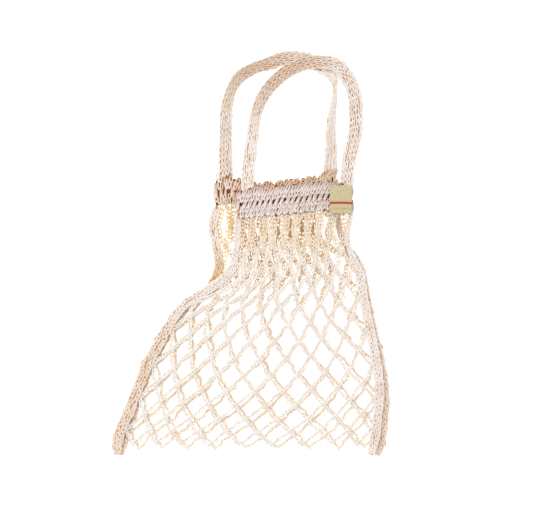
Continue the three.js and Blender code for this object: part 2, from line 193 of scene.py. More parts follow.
# %% Runs of the bands
# along, rise, height
FRONT_BAND_RUN = [
    (0, 0, 1.03), (0.18, 0.06, 1), (0.5, 0.17, 1), (0.79, 0.27, 0.97), (1, 0.16, 0.98),
]
BACK_BAND_RUN = [
    (0, 0, 1.13), (0.17, 0.07, 1.04), (0.34, -0.12, 0.98), (0.68, 0.01, 0.98),
    (0.86, 0.1, 1), (1, 0.5, 1.04),
]


class Band:
    """The run of a band: its middle, edges and height at any x. base is the y of its table's zero,
    rest the height that its ends lie at, and lift how much higher its middle arches."""

    def __init__(self, run, length, left, base, rest, lift):
        self.run = np.array(run, float)
        self.length, self.left, self.base, self.rest, self.lift = length, left, base, rest, lift

    def column(self, x, column):
        """A column of the table at any x: 1 is the rise and 2 the height."""
        table = self.run
        share = np.clip((np.atleast_1d(x) - self.left) / self.length, 0, 1)
        low = np.clip(np.searchsorted(table[:, 0], share, side="left") - 1, 0, len(table) - 2)
        part = (share - table[low, 0]) / (table[low + 1, 0] - table[low, 0])
        return smooth(table[:, column], (low + np.clip(part, 0, 1)) / (len(table) - 1))

    def middle(self, x):
        return self.base + BAND_HEIGHT * (0.5 + self.column(x, 1))

    def half(self, x):
        return BAND_HEIGHT / 2 * self.column(x, 2)

    def top(self, x):
        return self.middle(x) + self.half(x)

    def foot(self, x):
        return self.middle(x) - self.half(x)

    def height(self, x):
        share = np.clip((np.atleast_1d(x) - self.left) / self.length, 0, 1)
        return self.rest + BAND_THICK / 2 + self.lift * np.sin(math.pi * share)

    def ribbon(self, stations=120):
        x = np.linspace(self.left, self.left + self.length, stations)
        middle = np.stack([x, self.middle(x), self.height(x)], -1) + SHIFT
        across = np.zeros_like(middle)
        across[:, 1] = self.column(x, 2)
        return Ribbon(middle, across, np.tile([0.0, 0.0, 1.0], (len(x), 1)))


front_band = Band(FRONT_BAND_RUN, length=112.0, left=-9.5, base=NET_DEPTH, rest=4.3, lift=12.0)
back_band = Band(BACK_BAND_RUN, length=118.0, left=-30.5, base=NET_DEPTH + 11, rest=0.0, lift=0.0)
front_band_ribbon = front_band.ribbon()
back_band_ribbon = back_band.ribbon()
print("bands", round(front_band_ribbon.length), round(back_band_ribbon.length), "mm along")

# %% [markdown]
# ## Runs of the edgings
# An edging hangs from the end of its band and swings out to the bottom corner in a long S. Each row
# of a table is a share of the way down, how far the edging bows outwards there as a share of the
# net's depth, and its breadth as a share of its full width. The front ones come down to lie on the
# back ones.

# %% Runs of the edgings
# drop, bow, breadth
LEFT_FRONT_RUN = [
    (0, 0, 0.6), (0.143, -0.071, 0.7), (0.237, -0.093, 0.9), (0.308, -0.052, 1),
    (0.388, 0.03, 1), (0.509, 0.049, 1), (0.67, 0.046, 1), (0.848, 0.02, 1),
    (0.98, 0.003, 1), (1.05, -0.03, 0.9),
]
RIGHT_FRONT_RUN = [
    (0, 0, 0.5), (0.112, -0.025, 0.5), (0.183, -0.015, 0.6), (0.263, 0.01, 0.95),
    (0.335, 0.016, 1), (0.478, 0.029, 1), (0.621, 0.045, 1), (0.763, 0.048, 1),
    (0.906, 0.024, 1), (1, 0, 1), (1.05, -0.02, 0.9),
]
LEFT_BACK_RUN = [
    (0, 0, 0.8), (0.073, -0.014, 1), (0.159, -0.065, 1), (0.236, -0.11, 1),
    (0.313, -0.12, 1), (0.365, -0.092, 1), (0.425, -0.041, 1), (0.536, -0.006, 1),
    (0.691, 0.015, 1), (0.863, 0.009, 1), (1, 0, 1), (1.05, -0.01, 0.9),
]
RIGHT_BACK_RUN = [
    (0, 0, 0.7), (0.105, -0.003, 0.7), (0.186, 0.007, 0.7), (0.259, 0.05, 0.8),
    (0.328, 0.061, 1), (0.389, 0.058, 1), (0.518, 0.059, 1), (0.648, 0.066, 1),
    (0.777, 0.0625, 1), (0.907, 0.034, 1), (1, 0, 1), (1.05, -0.024, 0.9),
]
LINE_STEPS = 600
EDGING_STATIONS = 300
SETTLE = 0.3  # the share of the way down in which an edging comes down to where it lies


class Edging:
    """The run of an edging from its band's end down to the bag's bottom corner."""

    def __init__(self, run, side, band, corner, rest):
        run = np.array(run, float)
        end = band.left if side < 0 else band.left + band.length
        half = EDGING_WIDTH / 2 * run[0, 2]
        start = end - side * half
        foot = min(band.foot(start - half)[0], band.foot(start + half)[0]) - SEAM_GAP
        x = start + (corner - start) * run[:, 0] + side * run[:, 1] * NET_DEPTH
        points = np.stack([x, foot * (1 - run[:, 0])], -1)
        points = np.vstack([2 * points[0] - points[1], points, 2 * points[-1] - points[-2]])
        share = np.linspace(1, len(points) - 2, LINE_STEPS) / (len(points) - 1)
        line = smooth(points, share)
        reach = np.concatenate([[0], np.cumsum(np.linalg.norm(np.diff(line, axis=0), axis=1))])
        even = np.linspace(0, reach[-1], EDGING_STATIONS)
        line = np.stack([np.interp(even, reach, line[:, k]) for k in range(2)], -1)
        along = unit(np.gradient(line, axis=0))
        self.share = even / even[-1]
        level = np.zeros(EDGING_STATIONS)
        self.inward = np.stack([along[:, 1], -along[:, 0], level], -1) * side
        self.breadth = smooth(run[:, 2], np.interp(even, reach, np.linspace(0, 1, LINE_STEPS)))
        drop = max(0, band.height(start)[0] - BAND_THICK / 2 - rest)
        settle = np.maximum(0, 1 - self.share / SETTLE) ** 2
        self.middle = np.column_stack([line, rest + EDGING_THICK / 2 + drop * settle])

    def net_edge(self, share, gap):
        """Points gap mm off the edging's inner rim, on the net's side."""
        share = np.clip(share, 0, 1)
        edge = self.middle + self.inward * (self.breadth * EDGING_WIDTH / 2 + gap)[:, None]
        return np.stack([np.interp(share, self.share, edge[:, k]) for k in range(3)], -1)

    def ribbon(self):
        across = self.inward * self.breadth[:, None]
        up = np.tile([0.0, 0.0, 1.0], (len(across), 1))
        return Ribbon(self.middle + SHIFT, across, up)


edging_rest = EDGING_THICK + CLEARANCE
left_front = Edging(LEFT_FRONT_RUN, -1, front_band, -HALF_BAG, edging_rest)
right_front = Edging(RIGHT_FRONT_RUN, 1, front_band, HALF_BAG, edging_rest)
left_back = Edging(LEFT_BACK_RUN, -1, back_band, BACK_CORNER_SHIFT - HALF_BAG, 0.0)
right_back = Edging(RIGHT_BACK_RUN, 1, back_band, BACK_CORNER_SHIFT + HALF_BAG, 0.0)
edgings = (left_front, right_front, left_back, right_back)
print("edgings", [round(edging.ribbon().length) for edging in edgings], "mm along")

# %% [markdown]
# ## Runs of the handles
# A strap rises from its band, bends over in an arch and comes down again. Where the front one crosses
# the back one it climbs over it. The right leg of the back one has rolled over and stands on its
# edge. Each row of a table is a place across and up, as shares of the span and reach of the strap,
# how much of its foot's height it keeps there, how many straps it climbs over, and its roll in
# degrees.

# %% Runs of the handles
# across, reach, seat, over, roll
FRONT_HANDLE_RUN = [
    (0.005, 0.142, 0.85, 0, 0), (0.025, 0.268, 0.45, 0, 0), (0.045, 0.394, 0.12, 0, 0),
    (0.066, 0.52, 0, 0, 0), (0.106, 0.646, 0, 0, 0), (0.18, 0.76, 0, 0, 0),
    (0.28, 0.85, 0, 0.8, 0), (0.41, 0.93, 0, 1.15, 0), (0.57, 0.984, 0, 1.2, 0),
    (0.753, 1, 0, 1.2, 0), (0.914, 0.965, 0, 1.7, 0), (1.035, 0.843, 0, 1.3, 0),
    (1.086, 0.71, 0, 0.2, 0), (1.096, 0.575, 0, 0, 0), (1.086, 0.441, 0, 0, 0),
    (1.052, 0.307, 0.3, 0, 0), (1.015, 0.173, 0.75, 0, 0),
]
BACK_HANDLE_RUN = [
    (-0.007, 0.142, 1, 0, 0), (-0.007, 0.276, 1, 0, 0), (-0.004, 0.4, 1, 0, 0),
    (0, 0.51, 1, 0, 0), (0.04, 0.654, 1, 0, 0), (0.131, 0.772, 1, 0, 0),
    (0.27, 0.842, 1, 0, 0), (0.434, 0.886, 1, 0, 0), (0.576, 0.922, 1, 0, 0),
    (0.7, 0.932, 1, 0, 0), (0.83, 0.912, 1, 0, 0), (0.95, 0.867, 1, 0, 0),
    (1.04, 0.819, 1, 0, 2), (1.08, 0.77, 1, 0, 44), (1.1, 0.7, 1, 0, 80),
    (1.095, 0.61, 1, 0, 76), (1.075, 0.5, 1, 0, 62), (1.062, 0.38, 1, 0, 48),
    (1.06, 0.25, 1, 0, 36), (1.06, 0.15, 1, 0, 18),
]
# share of the run, share of the strap's width: the soft strap draws in where it bends
FRONT_STRAP_BREADTH = [
    (0, 0.95), (0.06, 1), (0.14, 0.95), (0.19, 0.88), (0.25, 0.82), (0.3, 0.92), (0.38, 1),
    (0.5, 1), (0.66, 1.03), (0.8, 1.08), (0.95, 1.02), (1, 1),
]
BACK_STRAP_BREADTH = [
    (0, 1.12), (0.05, 1.05), (0.1, 0.97), (0.17, 0.98), (0.2, 0.88), (0.23, 0.8), (0.27, 0.82),
    (0.3, 0.95), (0.34, 0.84), (0.38, 0.98), (0.45, 1.04), (1, 1),
]
FRONT_FEET = (2.5, 96.5)
BACK_FEET = (-18.0, -18.0 + 1.055 * HANDLE_SPAN)
HANDLE_STATIONS = 400


def handle_ribbon(run, band, feet_x, breadth):
    """A strap from foot to foot, turned about its own run where it rolls on edge."""
    feet_x = np.array(feet_x)
    feet_y = band.top(feet_x) + SEAM_GAP
    feet_z = band.height(feet_x) - BAND_THICK / 2
    last = ((feet_x[1] - feet_x[0]) / HANDLE_SPAN, (feet_y[1] - feet_y[0]) / HANDLE_REACH, 1, 0, 0)
    rows = np.array([(0, 0, 1, 0, 0), *run, last])
    share = np.linspace(0, 1, HANDLE_STATIONS)
    across_at, reach, seat, over, roll = smooth(rows, share).T
    roll = np.radians(roll)
    foot_z = np.where(share < 0.5, feet_z[0], feet_z[1])
    rest = (np.abs(np.sin(roll)) * HANDLE_WIDTH + np.cos(roll) * HANDLE_THICK) / 2
    lift = np.maximum(0, over) * (HANDLE_THICK + 2 * CLEARANCE)
    z = rest + foot_z * np.maximum(0, seat) + lift
    x = feet_x[0] + across_at * HANDLE_SPAN
    y = feet_y[0] + reach * HANDLE_REACH
    middle = np.stack([x, y, z], -1)
    ahead = unit(np.gradient(middle[:, :2], axis=0))
    flat = np.stack([ahead[:, 1], -ahead[:, 0], np.zeros(HANDLE_STATIONS)], -1)
    across = flat * np.cos(roll)[:, None] + np.outer(np.sin(roll), [0, 0, 1])
    up = np.outer(np.cos(roll), [0, 0, 1]) - flat * np.sin(roll)[:, None]
    wide = np.interp(share, *np.array(breadth).T)
    return Ribbon(middle + SHIFT, across * wide[:, None], up)


front_handle_ribbon = handle_ribbon(FRONT_HANDLE_RUN, front_band, FRONT_FEET, FRONT_STRAP_BREADTH)
back_handle_ribbon = handle_ribbon(BACK_HANDLE_RUN, back_band, BACK_FEET, BACK_STRAP_BREADTH)
print("handles", round(front_handle_ribbon.length), round(back_handle_ribbon.length), "mm along")

# %% [markdown]
# ## Yarn
# A stitch is one yarn that comes up out of the cloth, runs round as a loop and goes down again. Its
# path could be a Blender curve with a bevel, but thousands of curves are slow to convert, so the
# tubes are wound here from arrays: rings of points round each path, joined by quads. Two numbers
# stay with each point, and both paint light and shade into the yarn's colour. "lit" is how high
# and open to the light it lies, from 0 down between the stitches to 1 on top, and the other is how
# much painted warm, yellow-brown shade it gets, the shade that yarn lying deep in the bag takes on.

# %% Yarn tubes
LIT_FLANK = 0.58  # "lit" on the side of a yarn that lies at MIDDLE_LEVEL
LIT_FACING = 0.32  # more on its upper face, and less below
LIT_DEPTH = 0.5  # less where the stitch dives into the cloth
MIDDLE_LEVEL = 0.6


def tubes(path, up, radius, level, sides, warm_shade):
    """Closed tubes round many paths at once. path is (tubes, points, 3), radius a number or one for
    each point, level 0 to 1 for each point, which sets its painted light and shade, and the amount of
    painted yellow-brown shade a number or one for each tube."""
    count, steps, _ = path.shape
    along = unit(np.gradient(path, axis=1))
    side = unit(np.cross(up, along))
    over = np.cross(along, side)
    turn = 2 * math.pi * np.arange(sides) / sides
    thick = np.broadcast_to(radius, (count, steps))[:, :, None, None]
    spoke = np.cos(turn)[:, None] * side[:, :, None] + np.sin(turn)[:, None] * over[:, :, None]
    points = path[:, :, None] + spoke * thick
    facing = (spoke * up[:, :, None]).sum(-1)
    lit = LIT_FLANK + LIT_FACING * facing + LIT_DEPTH * (level[:, :, None] - MIDDLE_LEVEL)
    run = np.linalg.norm(np.diff(path, axis=1), axis=2).cumsum(1)
    run = np.concatenate([np.zeros((count, 1)), run], 1)

    index = np.arange(count * steps * sides).reshape(count, steps, sides)
    onward = np.roll(index, -1, axis=2)
    quads = np.stack([index[:, :-1], onward[:, :-1], onward[:, 1:], index[:, 1:]], -1)
    turns = np.arange(sides) / sides
    u = np.stack([turns, turns + 1 / sides, turns + 1 / sides, turns], -1)
    v = np.stack([run[:, :-1], run[:, :-1], run[:, 1:], run[:, 1:]], -1)
    uv = np.stack(np.broadcast_arrays(u[None, None], v[:, :, None]), -1)
    caps = np.concatenate([index[:, 0, ::-1], index[:, -1]])
    cap_uv = np.zeros((caps.size, 2))
    return {
        "points": points.reshape(-1, 3),
        "lit": lit.ravel(),
        "warm_shade": np.broadcast_to(warm_shade, lit.shape).ravel(),
        "faces": np.concatenate([quads.ravel(), caps.ravel()]),
        "sides": np.concatenate([np.full(quads.size // 4, 4), np.full(len(caps), sides)]),
        "uv": np.concatenate([uv.reshape(-1, 2), cap_uv]),
    }


trial = np.zeros((1, 4, 3))
trial[0, :, 0] = range(4)
trial_up = np.broadcast_to([0.0, 0.0, 1.0], trial.shape)
trial_tube = tubes(trial, trial_up, 0.5, np.ones((1, 4)), 6, 0.0)
print("a yarn of 4 points has", len(trial_tube["points"]), "corners, and carries", list(trial_tube))

# %% [markdown]
# ## The inside of a ribbon
# Between the upper and the lower stitches of a band or strap lies buried yarn. It is hardly seen, but
# without it the holes would show the white floor. A flat tube with rounded edges is enough for it,
# and a low "lit" gives it the brown of the shade in there.

# %% The inside of a ribbon
CORE_SIDES = 14
CORE_STEP = 2.5
CORE_SQUARE = 0.6  # below 1 the flat tube's section is squarer than an ellipse


def core(ribbon, width, thick, start=0.0, stop=None, level=0.0, warm_shade=0.6):
    """The inside of a ribbon of stitches: the buried yarn that shows dark in the holes, in painted
    shade.
    """
    stop = ribbon.length if stop is None else stop
    steps = max(8, int((stop - start) / CORE_STEP))
    s = np.linspace(start, stop, steps)
    turn = 2 * math.pi * np.arange(CORE_SIDES) / CORE_SIDES
    flat = np.zeros((steps, CORE_SIDES, 3))
    flat[..., 0] = s[:, None]
    flat[..., 1] = np.sign(np.cos(turn)) * np.abs(np.cos(turn)) ** CORE_SQUARE * width / 2
    flat[..., 2] = np.sin(turn) * thick / 2
    points, _ = ribbon.lay(flat)
    index = np.arange(steps * CORE_SIDES).reshape(steps, CORE_SIDES)
    onward = np.roll(index, -1, axis=1)
    quads = np.stack([index[:-1], onward[:-1], onward[1:], index[1:]], -1)
    # the faces have to look outwards, whichever way the ribbon's own direction across points
    facing = np.cross(points[0, 3] - points[0, 0], points[1, 0] - points[0, 0])
    if facing @ (points[0, 0] - points[0].mean(0)) < 0:
        quads = quads[..., ::-1]
        caps = np.stack([index[0], index[-1, ::-1]])
    else:
        caps = np.stack([index[0, ::-1], index[-1]])
    uv = np.stack(np.broadcast_arrays(turn[None] / 6.3, s[:, None] / 3), -1).reshape(-1, 2)
    faces = np.concatenate([quads.ravel(), caps.ravel()])
    return {
        "points": points.reshape(-1, 3),
        "lit": np.full(steps * CORE_SIDES, level),
        "warm_shade": np.full(steps * CORE_SIDES, warm_shade),
        "faces": faces,
        "sides": np.concatenate([np.full(quads.size // 4, 4), np.full(2, CORE_SIDES)]),
        "uv": uv[faces],
    }


trial_core = core(front_handle_ribbon, 10.0, 1.0)
print("the front strap's core has", len(trial_core["sides"]), "faces")

# %% [markdown]
# ## From yarn to an object
# All the yarn of a piece goes into one mesh. Filling Blender's mesh through foreach_set takes whole
# arrays, which is far quicker than making thousands of faces one by one. The two numbers of painted
# light and shade become attributes of the mesh that its material can read. Yarn on the floor is
# pressed flat there, so no point goes below it.

# %% From yarn to an object
FLOOR_GAP = 0.02  # so that no yarn lies in the plane of the floor


def piece(name, parts, material, node):
    """One object from several bundles of yarn. It rides on the bag and stands for a CAD node."""
    offset = np.cumsum([0] + [len(p["points"]) for p in parts])
    whole = {k: np.concatenate([p[k] for p in parts]) for k in ("points", "lit", "warm_shade", "sides", "uv")}
    faces = np.concatenate([p["faces"] + o for p, o in zip(parts, offset)]).astype(np.int32)
    points = whole["points"]
    points[:, 2] = np.maximum(points[:, 2], FLOOR_GAP)
    mesh = bpy.data.meshes.new(name)
    mesh.vertices.add(len(points))
    mesh.vertices.foreach_set("co", (points * MM).astype(np.float32).ravel())
    mesh.loops.add(len(faces))
    mesh.loops.foreach_set("vertex_index", faces)
    mesh.polygons.add(len(whole["sides"]))
    starts = np.concatenate([[0], np.cumsum(whole["sides"])[:-1]]).astype(np.int32)
    mesh.polygons.foreach_set("loop_start", starts)
    mesh.update(calc_edges=True)
    mesh.polygons.foreach_set("use_smooth", np.ones(len(starts), bool))
    for key in ("lit", "warm_shade"):
        attribute = mesh.attributes.new(key, "FLOAT", "POINT")
        attribute.data.foreach_set("value", np.clip(whole[key], 0, 1).astype(np.float32))
    mesh.uv_layers.new(name="UVMap").uv.foreach_set("vector", whole["uv"].astype(np.float32).ravel())
    mesh.materials.append(material)
    made = add_object(name, mesh)
    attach(made, "root")
    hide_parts(node)
    print(name, int((whole["sides"] - 2).sum()), "triangles", mesh.validate() and "mended" or "")


print("solids of the CAD model to be replaced:", len(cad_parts))

# %% [markdown]
# ## A stitch
# On a flat ribbon one crochet stitch is a teardrop: both legs leave one hole close together, spread
# towards the head and meet there. The next stitch comes out over that head, so each loop starts high
# and its head lies low. A row of such loops looks like a braid of Vs, which is what the yarn in the
# photograph shows wherever it is sharp.

# %% A stitch
def loops(base, axis, half, high, low, steps):
    """Flat paths of loops, and the level of their points. base is (loops, 2), axis the way to the
    head, half the way to a leg, and high and low the heights where it starts and heads."""
    turn = np.linspace(0, 2 * math.pi, steps)
    reach = (1 - np.cos(turn)) / 2
    spread = np.sin(turn) * np.abs(np.sin(turn / 2)) ** 0.5
    spread /= spread.max()
    base = np.asarray(base, float)
    axis = np.broadcast_to(axis, base.shape)
    half = np.broadcast_to(half, base.shape)
    flat = np.zeros((len(base), steps, 3))
    flat[..., :2] = (
        base[:, None] + axis[:, None] * reach[:, None] + half[:, None] * spread[:, None]
    )
    level = 1 - reach ** 0.8
    dip = np.maximum(0, 1 - reach / 0.06)
    flat[..., 2] = low + (high - low) * level - (high - low) * 0.9 * dip
    return flat, np.broadcast_to(level - 0.6 * dip, flat.shape[:2])


def plump(radius, steps, swell):
    """Yarn that is squeezed where a loop starts and heads, and swells between."""
    turn = np.linspace(0, 2 * math.pi, steps)
    return radius * (1 - swell + swell * 2 * np.abs(np.sin(turn)) ** 0.8)


trial_loop, _ = loops([(0, 0)], axis=(5, 0), half=(0, 1.5), high=1.0, low=0.2, steps=13)
print("a stitch 5 mm long is", round(float(np.ptp(trial_loop[0, :, 1])), 2), "mm wide")

# %% [markdown]
# ## Chains of stitches
# A chain is a row of such loops along a ribbon, each a little different from the next, as hand work
# is. Where the chain turns on its edge at the side of a strap or edging, its loops stand upright and
# close the gap between the upper and the lower stitches. Two short tables say how the painted warm
# shade and the thickness of the yarn change along the chain.

# %% Chains of stitches
EVEN = ([0], [1])  # a table that gives 1 all along
PLAIN = ([0], [0])  # and one that gives 0
CHAIN_SWELL = 0.28
CHAIN_STEPS = 13
RIM_STEPS = 11


def chain(ribbon, v, width, pitch, radius, high, low, phase, sides, warm_shade, fat, wander, overlap):
    """A chain of loops along a ribbon, v mm across it. Its painted yellow-brown shade and fat are
    tables of the share of its length, and the amount of that painted shade or the yarn's relative
    thickness there. Each draw of chance says how far one loop differs, in mm or as a share."""
    count = max(1, int(round(ribbon.length / pitch)))
    s = (np.arange(count) + phase) * ribbon.length / count
    base = np.stack([s, np.full(count, float(v))], -1)
    base += chance.normal(0, wander, base.shape)
    reach = pitch * overlap * chance.normal(1, 0.04, count)
    axis = np.stack([reach, chance.normal(0, wander, count)], -1)
    radius = radius * ribbon.read(fat, s)
    tint = ribbon.read(warm_shade, s)[:, None, None]
    spread = (width / 2 - 1.2 * radius) * chance.normal(1, 0.08, count)
    half = np.stack([np.zeros(count), spread], -1)
    flat, level = loops(base, axis, half, high, low, CHAIN_STEPS)
    flat[..., 0] = np.clip(flat[..., 0], -1.0, ribbon.length + 1.0)
    flat[..., 2] += chance.normal(0, 0.1, (count, 1))
    path, up = ribbon.lay(flat)
    thick = plump(radius[:, None], CHAIN_STEPS, CHAIN_SWELL)
    return tubes(path, up * np.sign(high), thick, level, sides, tint)


def rim(ribbon, v, tall, pitch, radius, warm_shade):
    """A chain that stands on its edge v mm across the ribbon, and closes its side."""
    count = max(1, int(round(ribbon.length / pitch)))
    s = (np.arange(count) + chance.uniform(0, 1)) * ribbon.length / count
    base = np.stack([s, np.zeros(count)], -1)
    axis = np.stack([pitch * 1.4 * chance.normal(1, 0.06, count), chance.normal(0, 0.2, count)], -1)
    half = np.stack([np.zeros(count), (tall / 2 - radius) * chance.normal(1, 0.1, count)], -1)
    flat, _ = loops(base, axis, half, 0.35, -0.35, RIM_STEPS)
    # the rim's painted light is set high and read towards its outer side, so its flanks take no painted
    # shade
    level = np.full(flat.shape[:2], 0.8)
    outward = np.sign(v) * (flat[..., 2] + chance.normal(0, 0.25, (count, 1)))
    flat = np.stack([flat[..., 0].clip(0, ribbon.length), v + outward, flat[..., 1]], -1)
    path, up = ribbon.lay(flat)
    flat[..., 1] += np.sign(v)
    facing = unit(0.6 * up + unit(ribbon.lay(flat)[0] - path))
    tint = ribbon.read(warm_shade, s)[:, None, None]
    return tubes(path, facing, plump(radius, RIM_STEPS, CHAIN_SWELL), level, 5, tint)


print("yarn in a chain swells by", round(plump(1.0, RIM_STEPS, CHAIN_SWELL).max() - 1, 2))

# %% [markdown]
# ## Colours and nodes
# Colours are easiest to compare with a photograph as sRGB hex values, but Blender's sockets take
# linear light, so one function turns one into the other. A material is a tree of nodes. One more
# function adds a node with its settings, links and values in a single call, so that each line below
# reads as one step of the recipe.

# %% Colour and node helpers
def colour(hex_value):
    """An sRGB hex value as the linear colour that Blender's sockets take."""
    channels = [int(hex_value[k:k + 2], 16) / 255 for k in (1, 3, 5)]
    linear = [c / 12.92 if c <= 0.04045 else ((c + 0.055) / 1.055) ** 2.4 for c in channels]
    return (*linear, 1.0)


def new_material(name):
    """A material, its node tree and its Principled shader."""
    material = bpy.data.materials.new(name)
    material.use_nodes = True
    return material, material.node_tree, material.node_tree.nodes["Principled BSDF"]


def add_node(tree, kind, links=(), values=(), **settings):
    """Adds a node, sets it, links sockets into its inputs and gives values to others."""
    node = tree.nodes.new(kind)
    for key, value in settings.items():
        setattr(node, key, value)
    for key, value in dict(values).items():
        node.inputs[key].default_value = value
    for key, socket in dict(links).items():
        tree.links.new(socket, node.inputs[key])
    return node


def fill_ramp(node, stops):
    """Sets the stops of a colour ramp, each a place from 0 to 1 and a hex value."""
    ramp = node.color_ramp
    while len(ramp.elements) < len(stops):
        ramp.elements.new(0.5)
    for element, (place, value) in zip(ramp.elements, stops):
        element.position = place
        element.color = colour(value)


print("mid grey #808080 in linear light", round(colour("#808080")[0], 3))

# %% [markdown]
# ## Natural cotton yarn, spun and plied
# Cotton yarn is matt: many short fibres scatter the light, so it has no clear gloss, a soft sheen at
# grazing angles, and a fine slanting relief where its plies are twisted. The index of refraction of
# cotton, about 1.5, is the shader's own, and it is no metal. Where stitches shade each other, light
# that has bounced between warm fibres turns the hollows orange-brown. That shade is painted: a colour
# ramp on "lit", and a warm tint multiplied in by the attribute of painted warm shade. Noise at the
# scale of a fibre tuft makes the painted shade uneven at random, and the undyed yarn varies from
# creamy to warm over a centimetre or two. The twist follows the tube's own coordinates, in
# millimetres along the yarn. Each use of the yarn has its own tones of painted light and shade,
# because the bands are worked tightly and shade themselves more than the net does.

# %% Cotton yarn
TWIST_MM = 2.4  # one turn of the plies
PLIES = 3
TUFTS_PER_M = 900.0  # a tuft of fibres is 1.1 mm wide: single fibres are too fine to show
CLOUDS_PER_M = 70.0  # the yarn changes its tint every 14 mm
FUZZ = 0.34  # how far the tufts change "lit"
CLOUD_SHARE = 0.5  # how much of the clouds' tint shows at most
TWIST_DEPTH = 0.00018  # metres


def cotton_yarn(name, deep, shade, body, light, warm_shade_tint, patch):
    """Twisted natural cotton yarn. The four tones are painted shade and light, from the hollows to the
    tops of the stitches as "lit" says; the fifth colour is the tint of the painted yellow-brown shade
    where its attribute is 1, and patch the tint of its clouds."""
    material, tree, shader = new_material(name)
    lit = add_node(tree, "ShaderNodeAttribute", attribute_name="lit")
    warm_shade = add_node(tree, "ShaderNodeAttribute", attribute_name="warm_shade")
    place = add_node(tree, "ShaderNodeTexCoord")
    fibre = add_node(tree, "ShaderNodeTexNoise", {"Vector": place.outputs["Object"]},
                     {"Scale": TUFTS_PER_M, "Detail": 3.0, "Roughness": 0.6})
    cloud = add_node(tree, "ShaderNodeTexNoise", {"Vector": place.outputs["Object"]},
                     {"Scale": CLOUDS_PER_M, "Detail": 2.0, "Roughness": 0.5})
    # tufts of fibre shift "lit", and so the painted shade, at random
    tuft_shift = add_node(tree, "ShaderNodeMath", {0: fibre.outputs["Fac"]},
                    {1: FUZZ, 2: -FUZZ / 2}, operation="MULTIPLY_ADD")
    height = add_node(tree, "ShaderNodeMath", {0: lit.outputs["Fac"], 1: tuft_shift.outputs[0]},
                      operation="ADD", use_clamp=True)
    tone = add_node(tree, "ShaderNodeValToRGB", {"Fac": height.outputs[0]})
    fill_ramp(tone, [(0.0, deep), (0.3, shade), (0.62, body), (1.0, light)])
    share = add_node(tree, "ShaderNodeMapRange", {"Value": cloud.outputs["Fac"]},
                     {"From Min": 0.45, "From Max": 0.75, "To Min": 0.0, "To Max": CLOUD_SHARE})
    mixed = tone.outputs["Color"]
    # the clouds' tint is the yarn's own; the second tint is the painted warm shade
    for amount, tint in ((share.outputs["Result"], patch), (warm_shade.outputs["Fac"], warm_shade_tint)):
        tinted = add_node(tree, "ShaderNodeMix", {0: amount, 6: mixed}, {7: colour(tint)},
                          data_type="RGBA", blend_type="MULTIPLY")
        mixed = tinted.outputs[2]
    tree.links.new(mixed, shader.inputs["Base Color"])

    yarn_uv = add_node(tree, "ShaderNodeSeparateXYZ", {"Vector": place.outputs["UV"]})
    around = add_node(tree, "ShaderNodeMath", {0: yarn_uv.outputs["X"]}, {1: float(PLIES)},
                      operation="MULTIPLY")
    twist = add_node(tree, "ShaderNodeMath", {0: yarn_uv.outputs["Y"], 2: around.outputs[0]},
                     {1: PLIES / TWIST_MM}, operation="MULTIPLY_ADD")
    ply = add_node(tree, "ShaderNodeMath", {0: twist.outputs[0]}, {1: 1.0}, operation="PINGPONG")
    relief = add_node(tree, "ShaderNodeMath", {0: fibre.outputs["Fac"], 2: ply.outputs[0]},
                      {1: 0.8}, operation="MULTIPLY_ADD")
    bump = add_node(tree, "ShaderNodeBump", {"Height": relief.outputs[0]},
                    {"Strength": 0.5, "Distance": TWIST_DEPTH})
    tree.links.new(bump.outputs["Normal"], shader.inputs["Normal"])
    rough = add_node(tree, "ShaderNodeMapRange", {"Value": fibre.outputs["Fac"]},
                     {"To Min": 0.78, "To Max": 0.98})
    tree.links.new(rough.outputs["Result"], shader.inputs["Roughness"])
    shader.inputs["Sheen Weight"].default_value = 0.25
    shader.inputs["Sheen Roughness"].default_value = 0.5
    shader.inputs["Specular IOR Level"].default_value = 0.25
    return material


# name, painted shade and light (deep, shade, body, light), painted warm shade tint, patch
net_cotton = cotton_yarn("cotton_net_yarn", "#D49C60", "#F0D9BE", "#F7EFE7", "#FAF8F6",
                         "#F8DEAC", "#F8E4C8")
# the same yarn for the back net, with its own painted light and shade
back_net_cotton = cotton_yarn("cotton_net_yarn_back_painted_shade", "#E4B070", "#F3DDBA", "#F9F2E8", "#FAF8F5",
                              "#F2D8A4", "#FFF2DA")
handle_cotton = cotton_yarn("cotton_strap_yarn", "#CC9254", "#E2BE94", "#EEE2D8", "#F6F1ED",
                            "#E2CDB8", "#F4E4D0")
band_cotton = cotton_yarn("cotton_band_yarn", "#5E2A0C", "#B48460", "#DCCAC2", "#F6F0F0",
                          "#E8B070", "#F0E4D4")
# the same yarn for the back band, with its own painted light and shade
back_band_cotton = cotton_yarn("cotton_band_yarn_back_painted_shade", "#844618", "#CC9C66", "#EADACA", "#FAF4EE",
                               "#F2CE9C", "#E4CCB0")
edging_cotton = cotton_yarn("cotton_edging_yarn", "#BC8650", "#DCBA96", "#EFE1D6", "#F6F0EC",
                            "#F2D6AC", "#F2E0CC")
print("yarn materials", len(bpy.data.materials))

# %% [markdown]
# ## The net
# The net is crocheted in arches of chain that are caught in the middle of the arch below, so it
# hangs in diamonds. The real one has about nine diamonds across a panel and fourteen half rows down
# it. The knots are laid on a surface stretched between the two edgings and the band. They don't
# spread evenly: the middle columns are the widest, and a few numbers fitted to the photograph say
# how each knot moves across and down.

# %% Surface of a net
COLUMNS = 9
ROWS = 14
ROW_STRETCH = 0.82  # below 1 the diamonds are taller near the band
# how far the knots move across and down: weights of the powers of their place across and down
SPREAD = np.array([0.21, -1.87, 3.87, -2.79, -0.34, 1.21, -1.92, 1.85])
SAG = np.array([-0.41, 0.61, -0.56, 0.39, 0.43, -0.53])
NET_GAP = 0.4  # between the net's outline and its edgings and band


